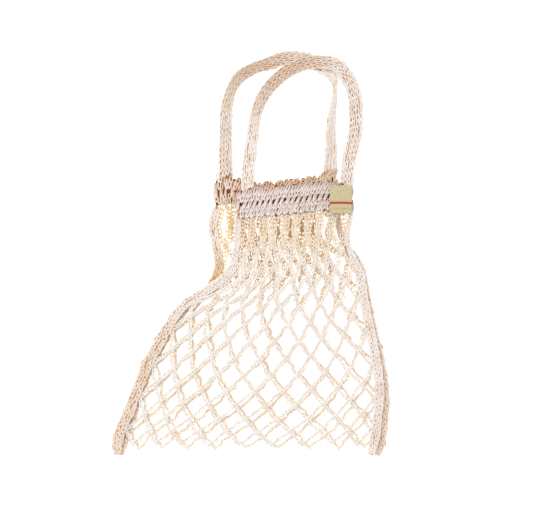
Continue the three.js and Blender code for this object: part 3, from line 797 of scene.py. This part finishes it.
def net_surface(left, right, band, rest, swell):
    """A function from (across, down), each 0 to 1, to points of the net's middle surface. Its bottom
    lies at the height rest, and its middle swells up by swell."""
    top_left, bottom_left = left.net_edge(np.array([0, NET_REACH]), NET_GAP)
    top_right, bottom_right = right.net_edge(np.array([0, NET_REACH]), NET_GAP)

    def surface(across, down):
        a, d = across[:, None], down[:, None]
        x = top_left[0] + (top_right[0] - top_left[0]) * across
        z = band.height(x) - BAND_THICK / 2 + STRAND_THICK / 2
        mouth = np.stack([x, band.foot(x) - NET_GAP, z], -1)
        tips = bottom_left + (bottom_right - bottom_left) * a
        tips[:, 2] = rest + STRAND_THICK / 2
        left_bow = left.net_edge(down * NET_REACH, NET_GAP) - (top_left + (bottom_left - top_left) * d)
        right_bow = right.net_edge(down * NET_REACH, NET_GAP) - (
            top_right + (bottom_right - top_right) * d
        )
        point = mouth + (tips - mouth) * d + left_bow * (1 - a) + right_bow * a
        point[:, 2] += swell * np.sin(math.pi * across) * np.sin(math.pi * np.clip(down, 0, 1))
        return point + SHIFT

    return surface


def spread_knots(row, column):
    """Where the knot of a row, counted from the bottom, and a column lies: across and down."""
    t = column / COLUMNS
    b = ((ROWS - row) / ROWS) ** ROW_STRETCH
    ones = np.ones_like(t)
    wide = np.stack([ones, t, t * t, t ** 3, b, t * b, t * t * b, t ** 3 * b], -1) @ SPREAD
    deep = np.stack([ones, t, t * t, b, t * b, t * t * b], -1) @ SAG
    return t + t * (1 - t) * wide, b + b * (1 - b) * deep


print("one row up from the bottom the middle knot is at",
      [round(float(v[0]), 2) for v in spread_knots(np.array([1.0]), np.array([4.0]))])

# %% [markdown]
# ## How a net lies
# The upper net is drawn smooth by its own band, and the lower one has slipped aside under it, so that
# its strands show between those of the upper one. No knot of hand work sits just where it should, and
# no strand is quite straight: the yarn gives a little between two knots.

# %% How a net lies
STRAND_POINTS = 25
TIP_STRAY = 1.0  # how far the lowest tips stray up and down
BAND_SPREAD = 0.25  # how far the two ends of a knot's strands hang apart at the band, in columns
SLIP_LEFT = 0.13  # the strands slip by this share at the left, and by 1 more at the right
SLIP_EDGE = 0.08  # the slip ends over this share of the width, at the right edging


class Panel:
    """How one net lies: its surface, how far its knots stray and its strands waver in mm, how far the
    upper strands slip to the left, as a share of its width, and how far the lower edge drops."""

    def __init__(self, surface, jitter, waver, slip, drop):
        self.surface, self.jitter, self.waver = surface, jitter, waver
        self.slip, self.drop = slip, drop

    def place(self, across, down):
        """The surface with its upper strands slipped to the left, more so to the right."""
        across = np.clip(across, 0, 1)
        upper = np.clip(1 - down, 0, 1) ** 2
        slip = self.slip * (SLIP_LEFT + across) * np.clip((1 - across) / SLIP_EDGE, 0, 1)
        moved = np.clip(across - slip * upper, 0, 1)
        point = self.surface(moved.ravel(), down.ravel()).reshape(*across.shape, 3)
        point[..., 1] -= self.drop * down
        return point

    def net(self):
        """The place of every knot, and the middle line of every strand as (strands, points, 3)."""
        flat, shift = {}, {}
        for row in range(ROWS + 1):
            whole = row % 2
            column = np.arange(COLUMNS + whole) + 0.5 * (1 - whole)
            across, down = spread_knots(np.full(len(column), float(row)), column)
            inside = (column > 0) & (column < COLUMNS) & (row not in (0, ROWS))
            moved = chance.normal(0, self.jitter, (len(column), 3)) * inside[:, None]
            moved[:, 2] = 0
            if row == 0:
                moved[:, 1] = chance.normal(0, TIP_STRAY, len(column))
            for c, a, d, m in zip(column, across, down, moved):
                flat[row, c], shift[row, c] = (a, d), m
        pairs = [((row, c), (row + 1, c + side)) for (row, c) in flat for side in (-0.5, 0.5)
                 if (row + 1, c + side) in flat]
        first, last = (np.array([flat[pair[k]] for pair in pairs])[:, None] for k in (0, 1))
        # at the band the two strands from a knot hang apart instead of meeting in one point
        ends = np.array([2 * (a[1] - b[1]) * (b[0] == ROWS) for a, b in pairs])
        last[:, 0, 0] += BAND_SPREAD * ends / COLUMNS
        start, stop = (np.array([shift[pair[k]] for pair in pairs])[:, None] for k in (0, 1))
        many = (len(pairs), 1)
        t = np.linspace(0, 1, STRAND_POINTS)[None]
        # a strand leans over in its middle, and near the band it hangs down longer before it does
        squeeze = 1.1 + (np.array([pair[0][0] for pair in pairs])[:, None] / ROWS) ** 2
        sway = 0.5 + 0.5 * np.sign(2 * t - 1) * np.abs(2 * t - 1) ** squeeze
        across = first[..., 0] + (last[..., 0] - first[..., 0]) * sway
        down = first[..., 1] + (last[..., 1] - first[..., 1]) * t
        line = self.place(across, down) + start + (stop - start) * t[..., None]
        turn = t * chance.uniform(0.6, 1.5, many) + chance.uniform(0, 1, many)
        stray = self.waver * np.sin(2 * math.pi * turn) * np.sin(math.pi * t)
        line[..., 0] += stray * chance.uniform(0.4, 1.4, many)
        knots = self.place(*np.array(list(flat.values())).T) + np.array(list(shift.values()))
        return dict(zip(flat, knots)), line


front_panel = Panel(net_surface(left_front, right_front, front_band, rest=3.2, swell=4.0),
                    jitter=0.7, waver=0.8, slip=0.0, drop=0.0)
back_panel = Panel(net_surface(left_back, right_back, back_band, rest=0.0, swell=0.0),
                   jitter=1.0, waver=1.3, slip=0.051, drop=2.5)
print("a net has", COLUMNS, "diamonds across and", ROWS, "half rows")

# %% [markdown]
# ## The yarn of a net
# Each strand is a chain of loops a few millimetres long. Near the band the mouth gathers the net, so
# the strands hang almost side by side there, and the chains are broader and get more painted warm
# shade. A crocheted chain also has a third yarn, which runs along under the two legs of its loops and
# fills their middles with a painted warm shade. Each knot is two small rings of yarn caught round the
# crossing.

# %% Chains and knots of a net
LOOP_MM = 3.7
LOOP_STEPS = 10
LOOP_OVERLAP = 1.45
KNOT_LONG, KNOT_WIDE = 2.0, 1.2
# places along +Y in the frame, in mm, for the tables of breadth and painted warm shade: from near
# the bottom of the bag to the band
BREADTH_AT = (-120, -45, -10, 14)
WARM_SHADE_AT = (-160, -20, 20)


def net_tubes(path, radius, level, warm_shade):
    """Tubes of a net's yarn, with painted yellow-brown shade: a pair of amounts, at the bottom of the
    bag and near the band.
    """
    up = np.broadcast_to([0.0, 0.0, 1.0], path.shape)
    tint = np.interp(path[:, 0, 1], WARM_SHADE_AT, (warm_shade[0], warm_shade[0], warm_shade[1]))
    return tubes(path, up, radius, level, 5, tint[:, None, None])


def net_yarn(panel, warm_shade, radius, width):
    """All the yarn of a net. width is the breadth of a chain at each place of BREADTH_AT."""
    knots, lines = panel.net()
    paths, levels, under = [], [], []
    for line in lines:
        broad = np.interp(line[STRAND_POINTS // 2, 1], BREADTH_AT, width)
        along = unit(np.gradient(line, axis=0))
        across = unit(np.cross([0.0, 0.0, 1.0], along))
        ribbon = Ribbon(line, across, np.cross(along, across))
        count = max(2, int(round(ribbon.length / LOOP_MM)))
        pitch = ribbon.length / count
        base = np.stack([np.arange(count) * pitch, np.zeros(count)], -1)
        base += chance.normal(0, 0.16, base.shape)
        axis = np.stack([pitch * LOOP_OVERLAP * chance.normal(1, 0.06, count),
                         chance.normal(0, 0.2, count)], -1)
        spread = (broad / 2 - 1.25 * radius) * chance.normal(1, 0.12, count)
        half = np.stack([np.zeros(count), spread], -1)
        flat, level = loops(base, axis, half, 0.6, -0.5, LOOP_STEPS)
        flat[..., 2] += chance.normal(0, 0.12, (count, 1))
        paths.append(ribbon.lay(flat)[0])
        levels.append(level)
        middle = np.zeros((1, LOOP_STEPS, 3))
        middle[..., 0] = np.linspace(0, ribbon.length, LOOP_STEPS)
        middle[..., 1] = chance.normal(0, 0.2, (1, LOOP_STEPS))
        middle[..., 2] = -0.35
        under.append(ribbon.lay(middle)[0])
    ring_turn = np.linspace(0, 2 * math.pi * 0.97, LOOP_STEPS)
    for (row, column), middle in knots.items():
        if row == ROWS or column in (0, COLUMNS):
            continue
        for lean in (chance.uniform(0.2, 1.2), chance.uniform(1.8, 2.9)):
            long, wide = KNOT_LONG * chance.normal(1, 0.08), KNOT_WIDE * chance.normal(1, 0.08)
            x = long * np.cos(ring_turn)
            y = wide * np.sin(ring_turn)
            z = 0.5 + 0.35 * np.cos(2 * ring_turn + lean)
            ring = np.stack([x * math.cos(lean) - y * math.sin(lean),
                             x * math.sin(lean) + y * math.cos(lean), z], -1)
            paths.append((middle + ring)[None])
            levels.append(np.full((1, LOOP_STEPS), 0.5))
    under = np.concatenate(under)
    under_radius = radius * chance.uniform(0.6, 1.1, under.shape[:2])
    return [
        net_tubes(np.concatenate(paths), plump(radius, LOOP_STEPS, 0.3), np.concatenate(levels), warm_shade),
        net_tubes(under, under_radius, np.full(under.shape[:2], 0.1), warm_shade),
    ]


piece("front_net_chains",
      net_yarn(front_panel, warm_shade=(0.0, 0.4), radius=0.6, width=(4.0, 4.2, 4.9, 6.2)),
      net_cotton, "front_net")
piece("back_net_chains",
      net_yarn(back_panel, warm_shade=(0.0, 0.8), radius=0.54, width=(3.4, 3.8, 4.9, 6.6)),
      back_net_cotton, "back_net")

# %% [markdown]
# ## The handles
# A strap is four chains side by side, worked together along its length. Where two of them draw in at
# the same stitch a slot opens between them, and the slots show the yarn inside the strap, in painted
# shade. So the strap is made of its four chains on top, the same four below, a thin core between
# them, and a chain on edge along each side that closes the gap there. The straps are pulled most at
# the top of their arch, so the slots are wide there, and the arch has painted brown shade. The rear
# one's right leg is slack, and its stitches close up.

# %% Straps
RIBS = 4
STRAP_PITCH = 5.7
STRAP_YARN = 0.62
STRAP_RIM_YARN = 0.66
STRAP_RUN_ON = 2.2  # how far a strap runs on into the stitches of its band


def strap(ribbon, warm_shade, fat):
    """The yarn of a strap."""
    ribbon = ribbon.longer(STRAP_RUN_ON, STRAP_RUN_ON)
    # the buried yarn inside, in painted shade, shows in the slots
    parts = [core(ribbon, HANDLE_WIDTH - 3.2, 0.8)]
    rib = HANDLE_WIDTH / RIBS
    for k in range(RIBS):
        v = (k + 0.5) * rib - HANDLE_WIDTH / 2
        for high, low, sides, tuck in ((1.0, 0.2, 6, 1.0), (-1.0, -0.2, 5, 0.93)):
            parts.append(chain(ribbon, v * tuck, rib + 0.5, STRAP_PITCH, STRAP_YARN, high, low,
                               phase=0.22 * k, sides=sides, warm_shade=warm_shade, fat=fat, wander=0.3,
                               overlap=1.35))
    for side in (-1, 1):
        v = side * (HANDLE_WIDTH / 2 - 0.8)
        parts.append(rim(ribbon, v, tall=2.6, pitch=3.4, radius=STRAP_RIM_YARN, warm_shade=warm_shade))
    return parts


# painted warm shade and thickness of the yarn, as tables of the share of the strap's length
front_arch_warm_shade = ([0.18, 0.28, 0.36, 0.44, 0.52, 0.6], [0, 0.5, 0.6, 0.7, 0.5, 0])
back_arch_warm_shade = ([0, 0.2, 0.32, 0.42, 0.52, 0.58], [0.2, 0.2, 0.7, 0.8, 0.4, 0])
front_plump = ([0.1, 0.25, 0.34, 0.5, 0.6], [1.12, 1, 0.94, 0.94, 1])
back_plump = ([0.25, 0.34, 0.48, 0.58], [1, 0.94, 0.94, 1.5])
piece("front_handle_strap", strap(front_handle_ribbon, front_arch_warm_shade, front_plump),
      handle_cotton, "front_handle")
piece("back_handle_strap", strap(back_handle_ribbon, back_arch_warm_shade, back_plump),
      handle_cotton, "back_handle")

# %% [markdown]
# ## The edgings
# Down each side runs a dense crocheted edging. It is narrower at the top, where the mouth gathers it.
# Two plump chains lie side by side and a third stands on edge along either rim, so hardly any hole is
# left between them.

# %% Edgings
EDGING_PITCH = 4.1
EDGING_YARN = 0.78
EDGING_RUN_ON = 2.0  # how far an edging runs on into the stitches of its band


def edge_yarn(edging, warm_shade, broad):
    """The yarn of an edging. Its lower half is broad times as wide, and its tip is rounded."""
    ribbon = edging.ribbon()
    share = ribbon.s / ribbon.length
    fat = (share, 0.3 + 0.7 * edging.breadth)
    tip = np.sqrt(np.clip((1.012 - share) / 0.03, 0.12, 1))
    ribbon.across = ribbon.across * (np.interp(share, (0.35, 0.6), (1, broad)) * tip)[:, None]
    ribbon = ribbon.longer(EDGING_RUN_ON, 0.1)
    # the buried yarn inside, in painted shade
    parts = [core(ribbon, EDGING_WIDTH - 3.2, 0.9, level=0.2, warm_shade=0.3)]
    for v, phase in ((-1.95, 0.0), (1.75, 0.45)):
        for high, low, sides in ((1.0, 0.25, 6), (-1.0, -0.25, 5)):
            parts.append(chain(ribbon, v, 4.1, EDGING_PITCH, EDGING_YARN, high, low,
                               phase=phase, sides=sides, warm_shade=warm_shade, fat=fat, wander=0.45,
                               overlap=1.6))
    for side in (-1, 1):
        v = side * (EDGING_WIDTH / 2 - 0.6)
        parts.append(rim(ribbon, v, tall=2.8, pitch=3.6, radius=EDGING_YARN, warm_shade=warm_shade))
    return parts


# painted warm shade along each edging, as tables of the share of its length
neck_warm_shade = ([0, 0.12, 0.24, 0.38, 0.46, 1], [0, 0, 1, 1, 0.3, 0.5])
for name, edging, warm_shade, broad in (
    ("left_edging_front", left_front, ([0.3, 0.6], [0, 0.3]), 1.25),
    ("right_edging_front", right_front, PLAIN, 1.05),
    ("left_edging_back", left_back, neck_warm_shade, 1.1),
    ("right_edging_back", right_back, ([0, 0.4, 1], [0, 0.2, 0.4]), 1.1),
):
    piece(name + "_yarn", edge_yarn(edging, warm_shade, broad), edging_cotton, name)

# %% [markdown]
# ## The bands
# The mouth bands are five rows of plump stitches that lean to the right, on both faces. Each row
# starts from under the heads of the row below and hides nearly all that lies under it, and lower
# stitches with painted shade fill in between. Only the middle row is of narrow posts, worked apart,
# which leaves a line of small holes along the band, dark with a strip of painted deep shade behind
# them. The back band has been pulled about more: at its left end its stitches are crumpled. Its
# inside has darker painted shade, and it has painted warm shade where it lies under the front band.

# %% Bands
BAND_YARN = 0.8
STITCH_PITCH = 5.2
STITCH_LEAN = 3.2
STITCH_STEPS = 15
BAND_SLOPE = 2.6  # how much the rows rise in the band from its left end to its right
BAND_START = 1.4  # where the first stitch may begin, in mm from the band's left end
# foot and height of each row in mm from the band's middle, how far its heads overlap the next row,
# where its first foot is, as a share of the pitch, half the width of its stitches, and how far they
# stray
BAND_ROWS = [
    (-13.4, 7.0, 1.2, 0.1, 1.3, 0.45), (-7.4, 5.0, 1.06, 0.15, 1.3, 0.35),
    (-4.0, 7.0, 1.1, 0.46, 0.66, 0.15), (2.2, 5.4, 1.4, 0.14, 1.3, 0.3),
    (6.4, 6.2, 1.12, 0.5, 1.3, 0.5),
]


def band_row(ribbon, row, lean, warm_shade, fat, crumple, side, inner):
    """A row of stitches. lean, the painted yellow-brown shade, fat and crumple are tables of the share
    of its length and the value there. An inner row fills in between the stitches of its row, lower
    and with painted shade."""
    foot, height, overlap, phase, wide, stray = row
    count = int(round(ribbon.length / STITCH_PITCH))
    s = (np.arange(-2, count) + phase + 0.5 * inner) * ribbon.length / count
    s = s[(s > 1.2) & (s < ribbon.length - 0.6)]
    many = len(s)
    slope = BAND_SLOPE * (s / ribbon.length - 0.5) * (1 - (foot / (BAND_HEIGHT / 2)) ** 2)
    astray = stray * ribbon.read(crumple, s)[:, None]
    base = np.stack([s, foot + slope], -1) + astray * chance.normal(0, 1, (many, 2))
    tilt = ribbon.read(lean, s) * height / 6 * chance.normal(1, 0.12, many)
    axis = np.stack([tilt, chance.normal(height * overlap, 0.6, many)], -1)
    half = np.stack([chance.normal(-wide, 0.12, many), np.full(many, 0.5)], -1)
    high = 0.8 if inner else 1.4
    flat, level = loops(base, axis, half, side * high, side * 0.2, STITCH_STEPS)
    flat[..., 0] = np.clip(flat[..., 0], BAND_START, ribbon.length + 0.4)
    flat[..., 2] += chance.normal(0, 0.12, (many, 1))
    path, up = ribbon.lay(flat)
    tint = ribbon.read(warm_shade, s)[:, None, None]
    level = 0.4 * level - 0.1 if inner else level
    radius = BAND_YARN * ribbon.read(fat, s)[:, None]
    return tubes(path, up * side, plump(radius, STITCH_STEPS, 0.2), level, 5, tint)


def band_yarn(ribbon, lean, warm_shade, fat, crumple, hollow, full_rows):
    """All the yarn of a band. hollow is the painted light of its inside, apart from a strip of painted
    deep shade behind the holes, and full_rows are the rows with an inner row between their stitches."""
    parts = [core(ribbon, width=BAND_HEIGHT - 4.0, thick=0.9, start=2.5, stop=ribbon.length - 3.5,
                  level=hollow),
             # a strip of painted deep shade behind the line of holes
             core(ribbon, width=5.6, thick=1.2, start=4.0, stop=ribbon.length - 4.0)]
    for side in (1, -1):
        for number, row in enumerate(BAND_ROWS):
            for inner in (False, True) if number in full_rows else (False,):
                parts.append(band_row(ribbon, row, lean, warm_shade, fat, crumple, side, inner))
    return parts


front_lean = ([0, 0.07, 0.93, 1], [0, STITCH_LEAN, STITCH_LEAN, 0])
back_lean = ([0.14, 0.2, 0.82, 0.9], [0.4, STITCH_LEAN, STITCH_LEAN, 0.4])
# painted warm shade along the back band, most where it lies under the front one
back_band_warm_shade = ([0.14, 0.2, 0.85, 0.93], [0.1, 0.4, 0.4, 0.3])
back_fat = ([0.14, 0.2], [0.8, 0.9])
back_crumple = ([0.2, 0.26], [3.0, 1.2])
piece("front_band_stitches",
      band_yarn(front_band_ribbon, front_lean, warm_shade=PLAIN, fat=EVEN, crumple=EVEN, hollow=0.25,
                full_rows=(0, 1, 3, 4)),
      band_cotton, "front_band")
piece("back_band_stitches",
      band_yarn(back_band_ribbon, back_lean, warm_shade=back_band_warm_shade, fat=back_fat, crumple=back_crumple,
                hollow=0.05, full_rows=(1, 3)),
      back_band_cotton, "back_band")

# %% [markdown]
# ## The label
# The label is a short length of woven tape, folded over at its top and sewn to the right end of the
# band. Plain-woven cotton tape is flat and matt, with fine crossing threads: a product of two waves
# gives their weave, and a little noise the thicker and thinner places of a spun thread. It is left
# bare apart from one plain woven stripe.

# %% Woven cotton tape
THREAD_MM = {"X": 0.5, "Y": 0.42}  # between threads, across the tape and along it
STRIPE_AT, STRIPE_HALF = 43.0, 1.1  # in mm along the tape
SLUBS_PER_MM = 0.6  # a thicker or thinner place of a thread is 1.7 mm long
WEAVE_DEPTH = 0.0001  # metres


def woven_tape(name):
    """Plain-woven cotton tape, pale olive cream, with one stripe."""
    material, tree, shader = new_material(name)
    place = add_node(tree, "ShaderNodeTexCoord")
    spots = add_node(tree, "ShaderNodeSeparateXYZ", {"Vector": place.outputs["UV"]})
    threads = []
    for axis, spacing in THREAD_MM.items():
        turn = add_node(tree, "ShaderNodeMath", {0: spots.outputs[axis]},
                        {1: 2 * math.pi / spacing}, operation="MULTIPLY")
        threads.append(add_node(tree, "ShaderNodeMath", {0: turn.outputs[0]}, operation="SINE"))
    weave = add_node(tree, "ShaderNodeMath", {0: threads[0].outputs[0], 1: threads[1].outputs[0]},
                     operation="MULTIPLY")
    slub = add_node(tree, "ShaderNodeTexNoise", {"Vector": place.outputs["UV"]},
                    {"Scale": SLUBS_PER_MM, "Detail": 4.0})
    mixed = add_node(tree, "ShaderNodeMath", {0: weave.outputs[0], 2: slub.outputs["Fac"]},
                     {1: 0.16}, operation="MULTIPLY_ADD")
    tone = add_node(tree, "ShaderNodeValToRGB", {"Fac": mixed.outputs[0]})
    fill_ramp(tone, [(0.25, "#B8A57A"), (0.5, "#D0C196"), (0.8, "#E0D5B2")])
    near = add_node(tree, "ShaderNodeMath", {0: spots.outputs["Y"]}, {1: STRIPE_AT, 2: STRIPE_HALF},
                    operation="COMPARE")
    stripe = add_node(tree, "ShaderNodeMix", {0: near.outputs[0], 6: tone.outputs["Color"]},
                      {7: colour("#B0483A")}, data_type="RGBA")
    tree.links.new(stripe.outputs[2], shader.inputs["Base Color"])
    bump = add_node(tree, "ShaderNodeBump", {"Height": weave.outputs[0]},
                    {"Strength": 0.4, "Distance": WEAVE_DEPTH})
    tree.links.new(bump.outputs["Normal"], shader.inputs["Normal"])
    shader.inputs["Roughness"].default_value = 0.85
    shader.inputs["Sheen Weight"].default_value = 0.15
    return material


tape = woven_tape("woven_cotton_tape")
print("tape material with", len(tape.node_tree.nodes), "nodes")

# %% [markdown]
# ## The label's strip
# The strip is drawn from the side first: up behind, over the fold and down in front. Swept across the
# width of the tape, that line is a sheet of quads, and a Solidify modifier gives it its thickness. It
# is a real sheet of cloth.

# %% The label's strip
LABEL_WIDTH = 21.0
LABEL_HEIGHT = 21.5
LABEL_LIP = 5.0  # how much further down the strip reaches behind
LABEL_INSET = 1.0  # from the end and the top of the band
TAPE_THICK = 0.35
BEHIND, FRONT = 0.45, 1.05  # heights of the two layers over the band


def label_piece(band):
    """One strip: up behind, over the fold at the top and down in front, 21 mm wide."""
    right = band.left + band.length - LABEL_INSET
    top = float(band.top(right - LABEL_WIDTH / 2)[0]) - LABEL_INSET
    # drop below the fold, height over the band
    profile = [(LABEL_HEIGHT + LABEL_LIP, BEHIND - 0.15), (LABEL_HEIGHT, BEHIND - 0.05), (14.0, BEHIND),
               (6.0, BEHIND), (1.0, BEHIND), (0.15, (BEHIND + FRONT) / 2), (1.0, FRONT + 0.1),
               (6.0, FRONT + 0.1), (14.0, FRONT), (19.0, FRONT), (LABEL_HEIGHT - 0.2, FRONT - 0.1),
               (LABEL_HEIGHT, FRONT - 0.2)]
    drop, above = smooth(np.array(profile), np.linspace(0, 1, 60)).T
    run = np.concatenate([[0], np.cumsum(np.hypot(np.diff(drop), np.diff(above)))])
    wide = np.linspace(0, 1, 25)
    narrow = np.where(run < LABEL_LIP + 1, 0.965, 1.0)
    x = right - LABEL_WIDTH / 2 + (wide[None] - 0.5) * LABEL_WIDTH * narrow[:, None]
    seat = band.height(x.ravel()).reshape(x.shape) + BAND_THICK / 2 + CLEARANCE
    ripple = 0.12 * np.sin(wide * 9)[None] * np.sin(run / 9)[:, None]
    y = top - drop[:, None] + 0.25 * np.sin(wide * 3.1)[None]
    points = np.stack([x, y, seat + above[:, None] + ripple], -1) + SHIFT
    index = np.arange(points[..., 0].size).reshape(x.shape)
    quads = np.stack([index[:-1, :-1], index[:-1, 1:], index[1:, 1:], index[1:, :-1]], -1)
    mesh = bpy.data.meshes.new("label_tape")
    mesh.from_pydata((points.reshape(-1, 3) * MM).tolist(), [], quads.reshape(-1, 4).tolist())
    uv = np.stack(np.broadcast_arrays(wide[None] * LABEL_WIDTH, run[:, None]), -1).reshape(-1, 2)
    corners = np.zeros(len(mesh.loops), np.int32)
    mesh.loops.foreach_get("vertex_index", corners)
    mesh.uv_layers.new(name="UVMap").uv.foreach_set("vector", uv[corners].astype(np.float32).ravel())
    mesh.polygons.foreach_set("use_smooth", np.ones(len(mesh.polygons), bool))
    mesh.materials.append(tape)
    label = add_object("label_tape", mesh)
    solid = label.modifiers.new("thickness", "SOLIDIFY")
    solid.thickness = TAPE_THICK * MM
    solid.offset = 0
    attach(label, "root")
    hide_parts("label")
    return label, run[-1]


label, tape_run = label_piece(front_band)
print("label tape", round(tape_run, 1), "mm long")

# %% [markdown]
# ## Floor and light
# The photograph is a bright product shot on a ground that glows white, as a light table does: no
# shadow is left on it, and the light that comes up through the net brightens the deep yarn, whose
# warm look is partly light bounced between its fibres and partly painted warm shade. So the floor
# gives off some light of its own. A white world lights the bag from all sides, and one large soft
# lamp at the upper left gives the yarn its small shadows.

# %% Floor and light
WHITE = (1, 1, 1, 1)
FLOOR_HALF = 3  # metres
FLOOR_GLOW = 0.75
WORLD_LIGHT = 0.85
LAMP_PLACE = Vector((-0.7, 0.8, 1.5))
LAMP_SIZE = 1.2
LAMP_WATTS = 12.0

corners = [(x * FLOOR_HALF, y * FLOOR_HALF, 0) for x, y in ((-1, -1), (1, -1), (1, 1), (-1, 1))]
floor_mesh = bpy.data.meshes.new("floor")
floor_mesh.from_pydata(corners, [], [(0, 1, 2, 3)])
floor = add_object("floor", floor_mesh)
floor_paint, _, paint = new_material("white_light_table")
for socket, value in {"Base Color": colour("#FBFBFB"), "Roughness": 0.9, "Specular IOR Level": 0.1,
                      "Emission Color": WHITE, "Emission Strength": FLOOR_GLOW}.items():
    paint.inputs[socket].default_value = value
floor_mesh.materials.append(floor_paint)

world = bpy.data.worlds.new("studio")
bpy.context.scene.world = world
world.use_nodes = True
sky = world.node_tree.nodes["Background"]
sky.inputs["Color"].default_value = WHITE
sky.inputs["Strength"].default_value = WORLD_LIGHT
bpy.context.scene.view_settings.view_transform = "Standard"

lamp_data = bpy.data.lights.new("soft_box", "AREA")
lamp_data.size = LAMP_SIZE
lamp_data.energy = LAMP_WATTS
lamp = add_object("soft_box", lamp_data)
lamp.location = LAMP_PLACE
lamp.rotation_euler = (-LAMP_PLACE).to_track_quat("-Z", "Y").to_euler()
print("floor, world and a lamp", round(LAMP_PLACE.length, 2), "m away")

# %% [markdown]
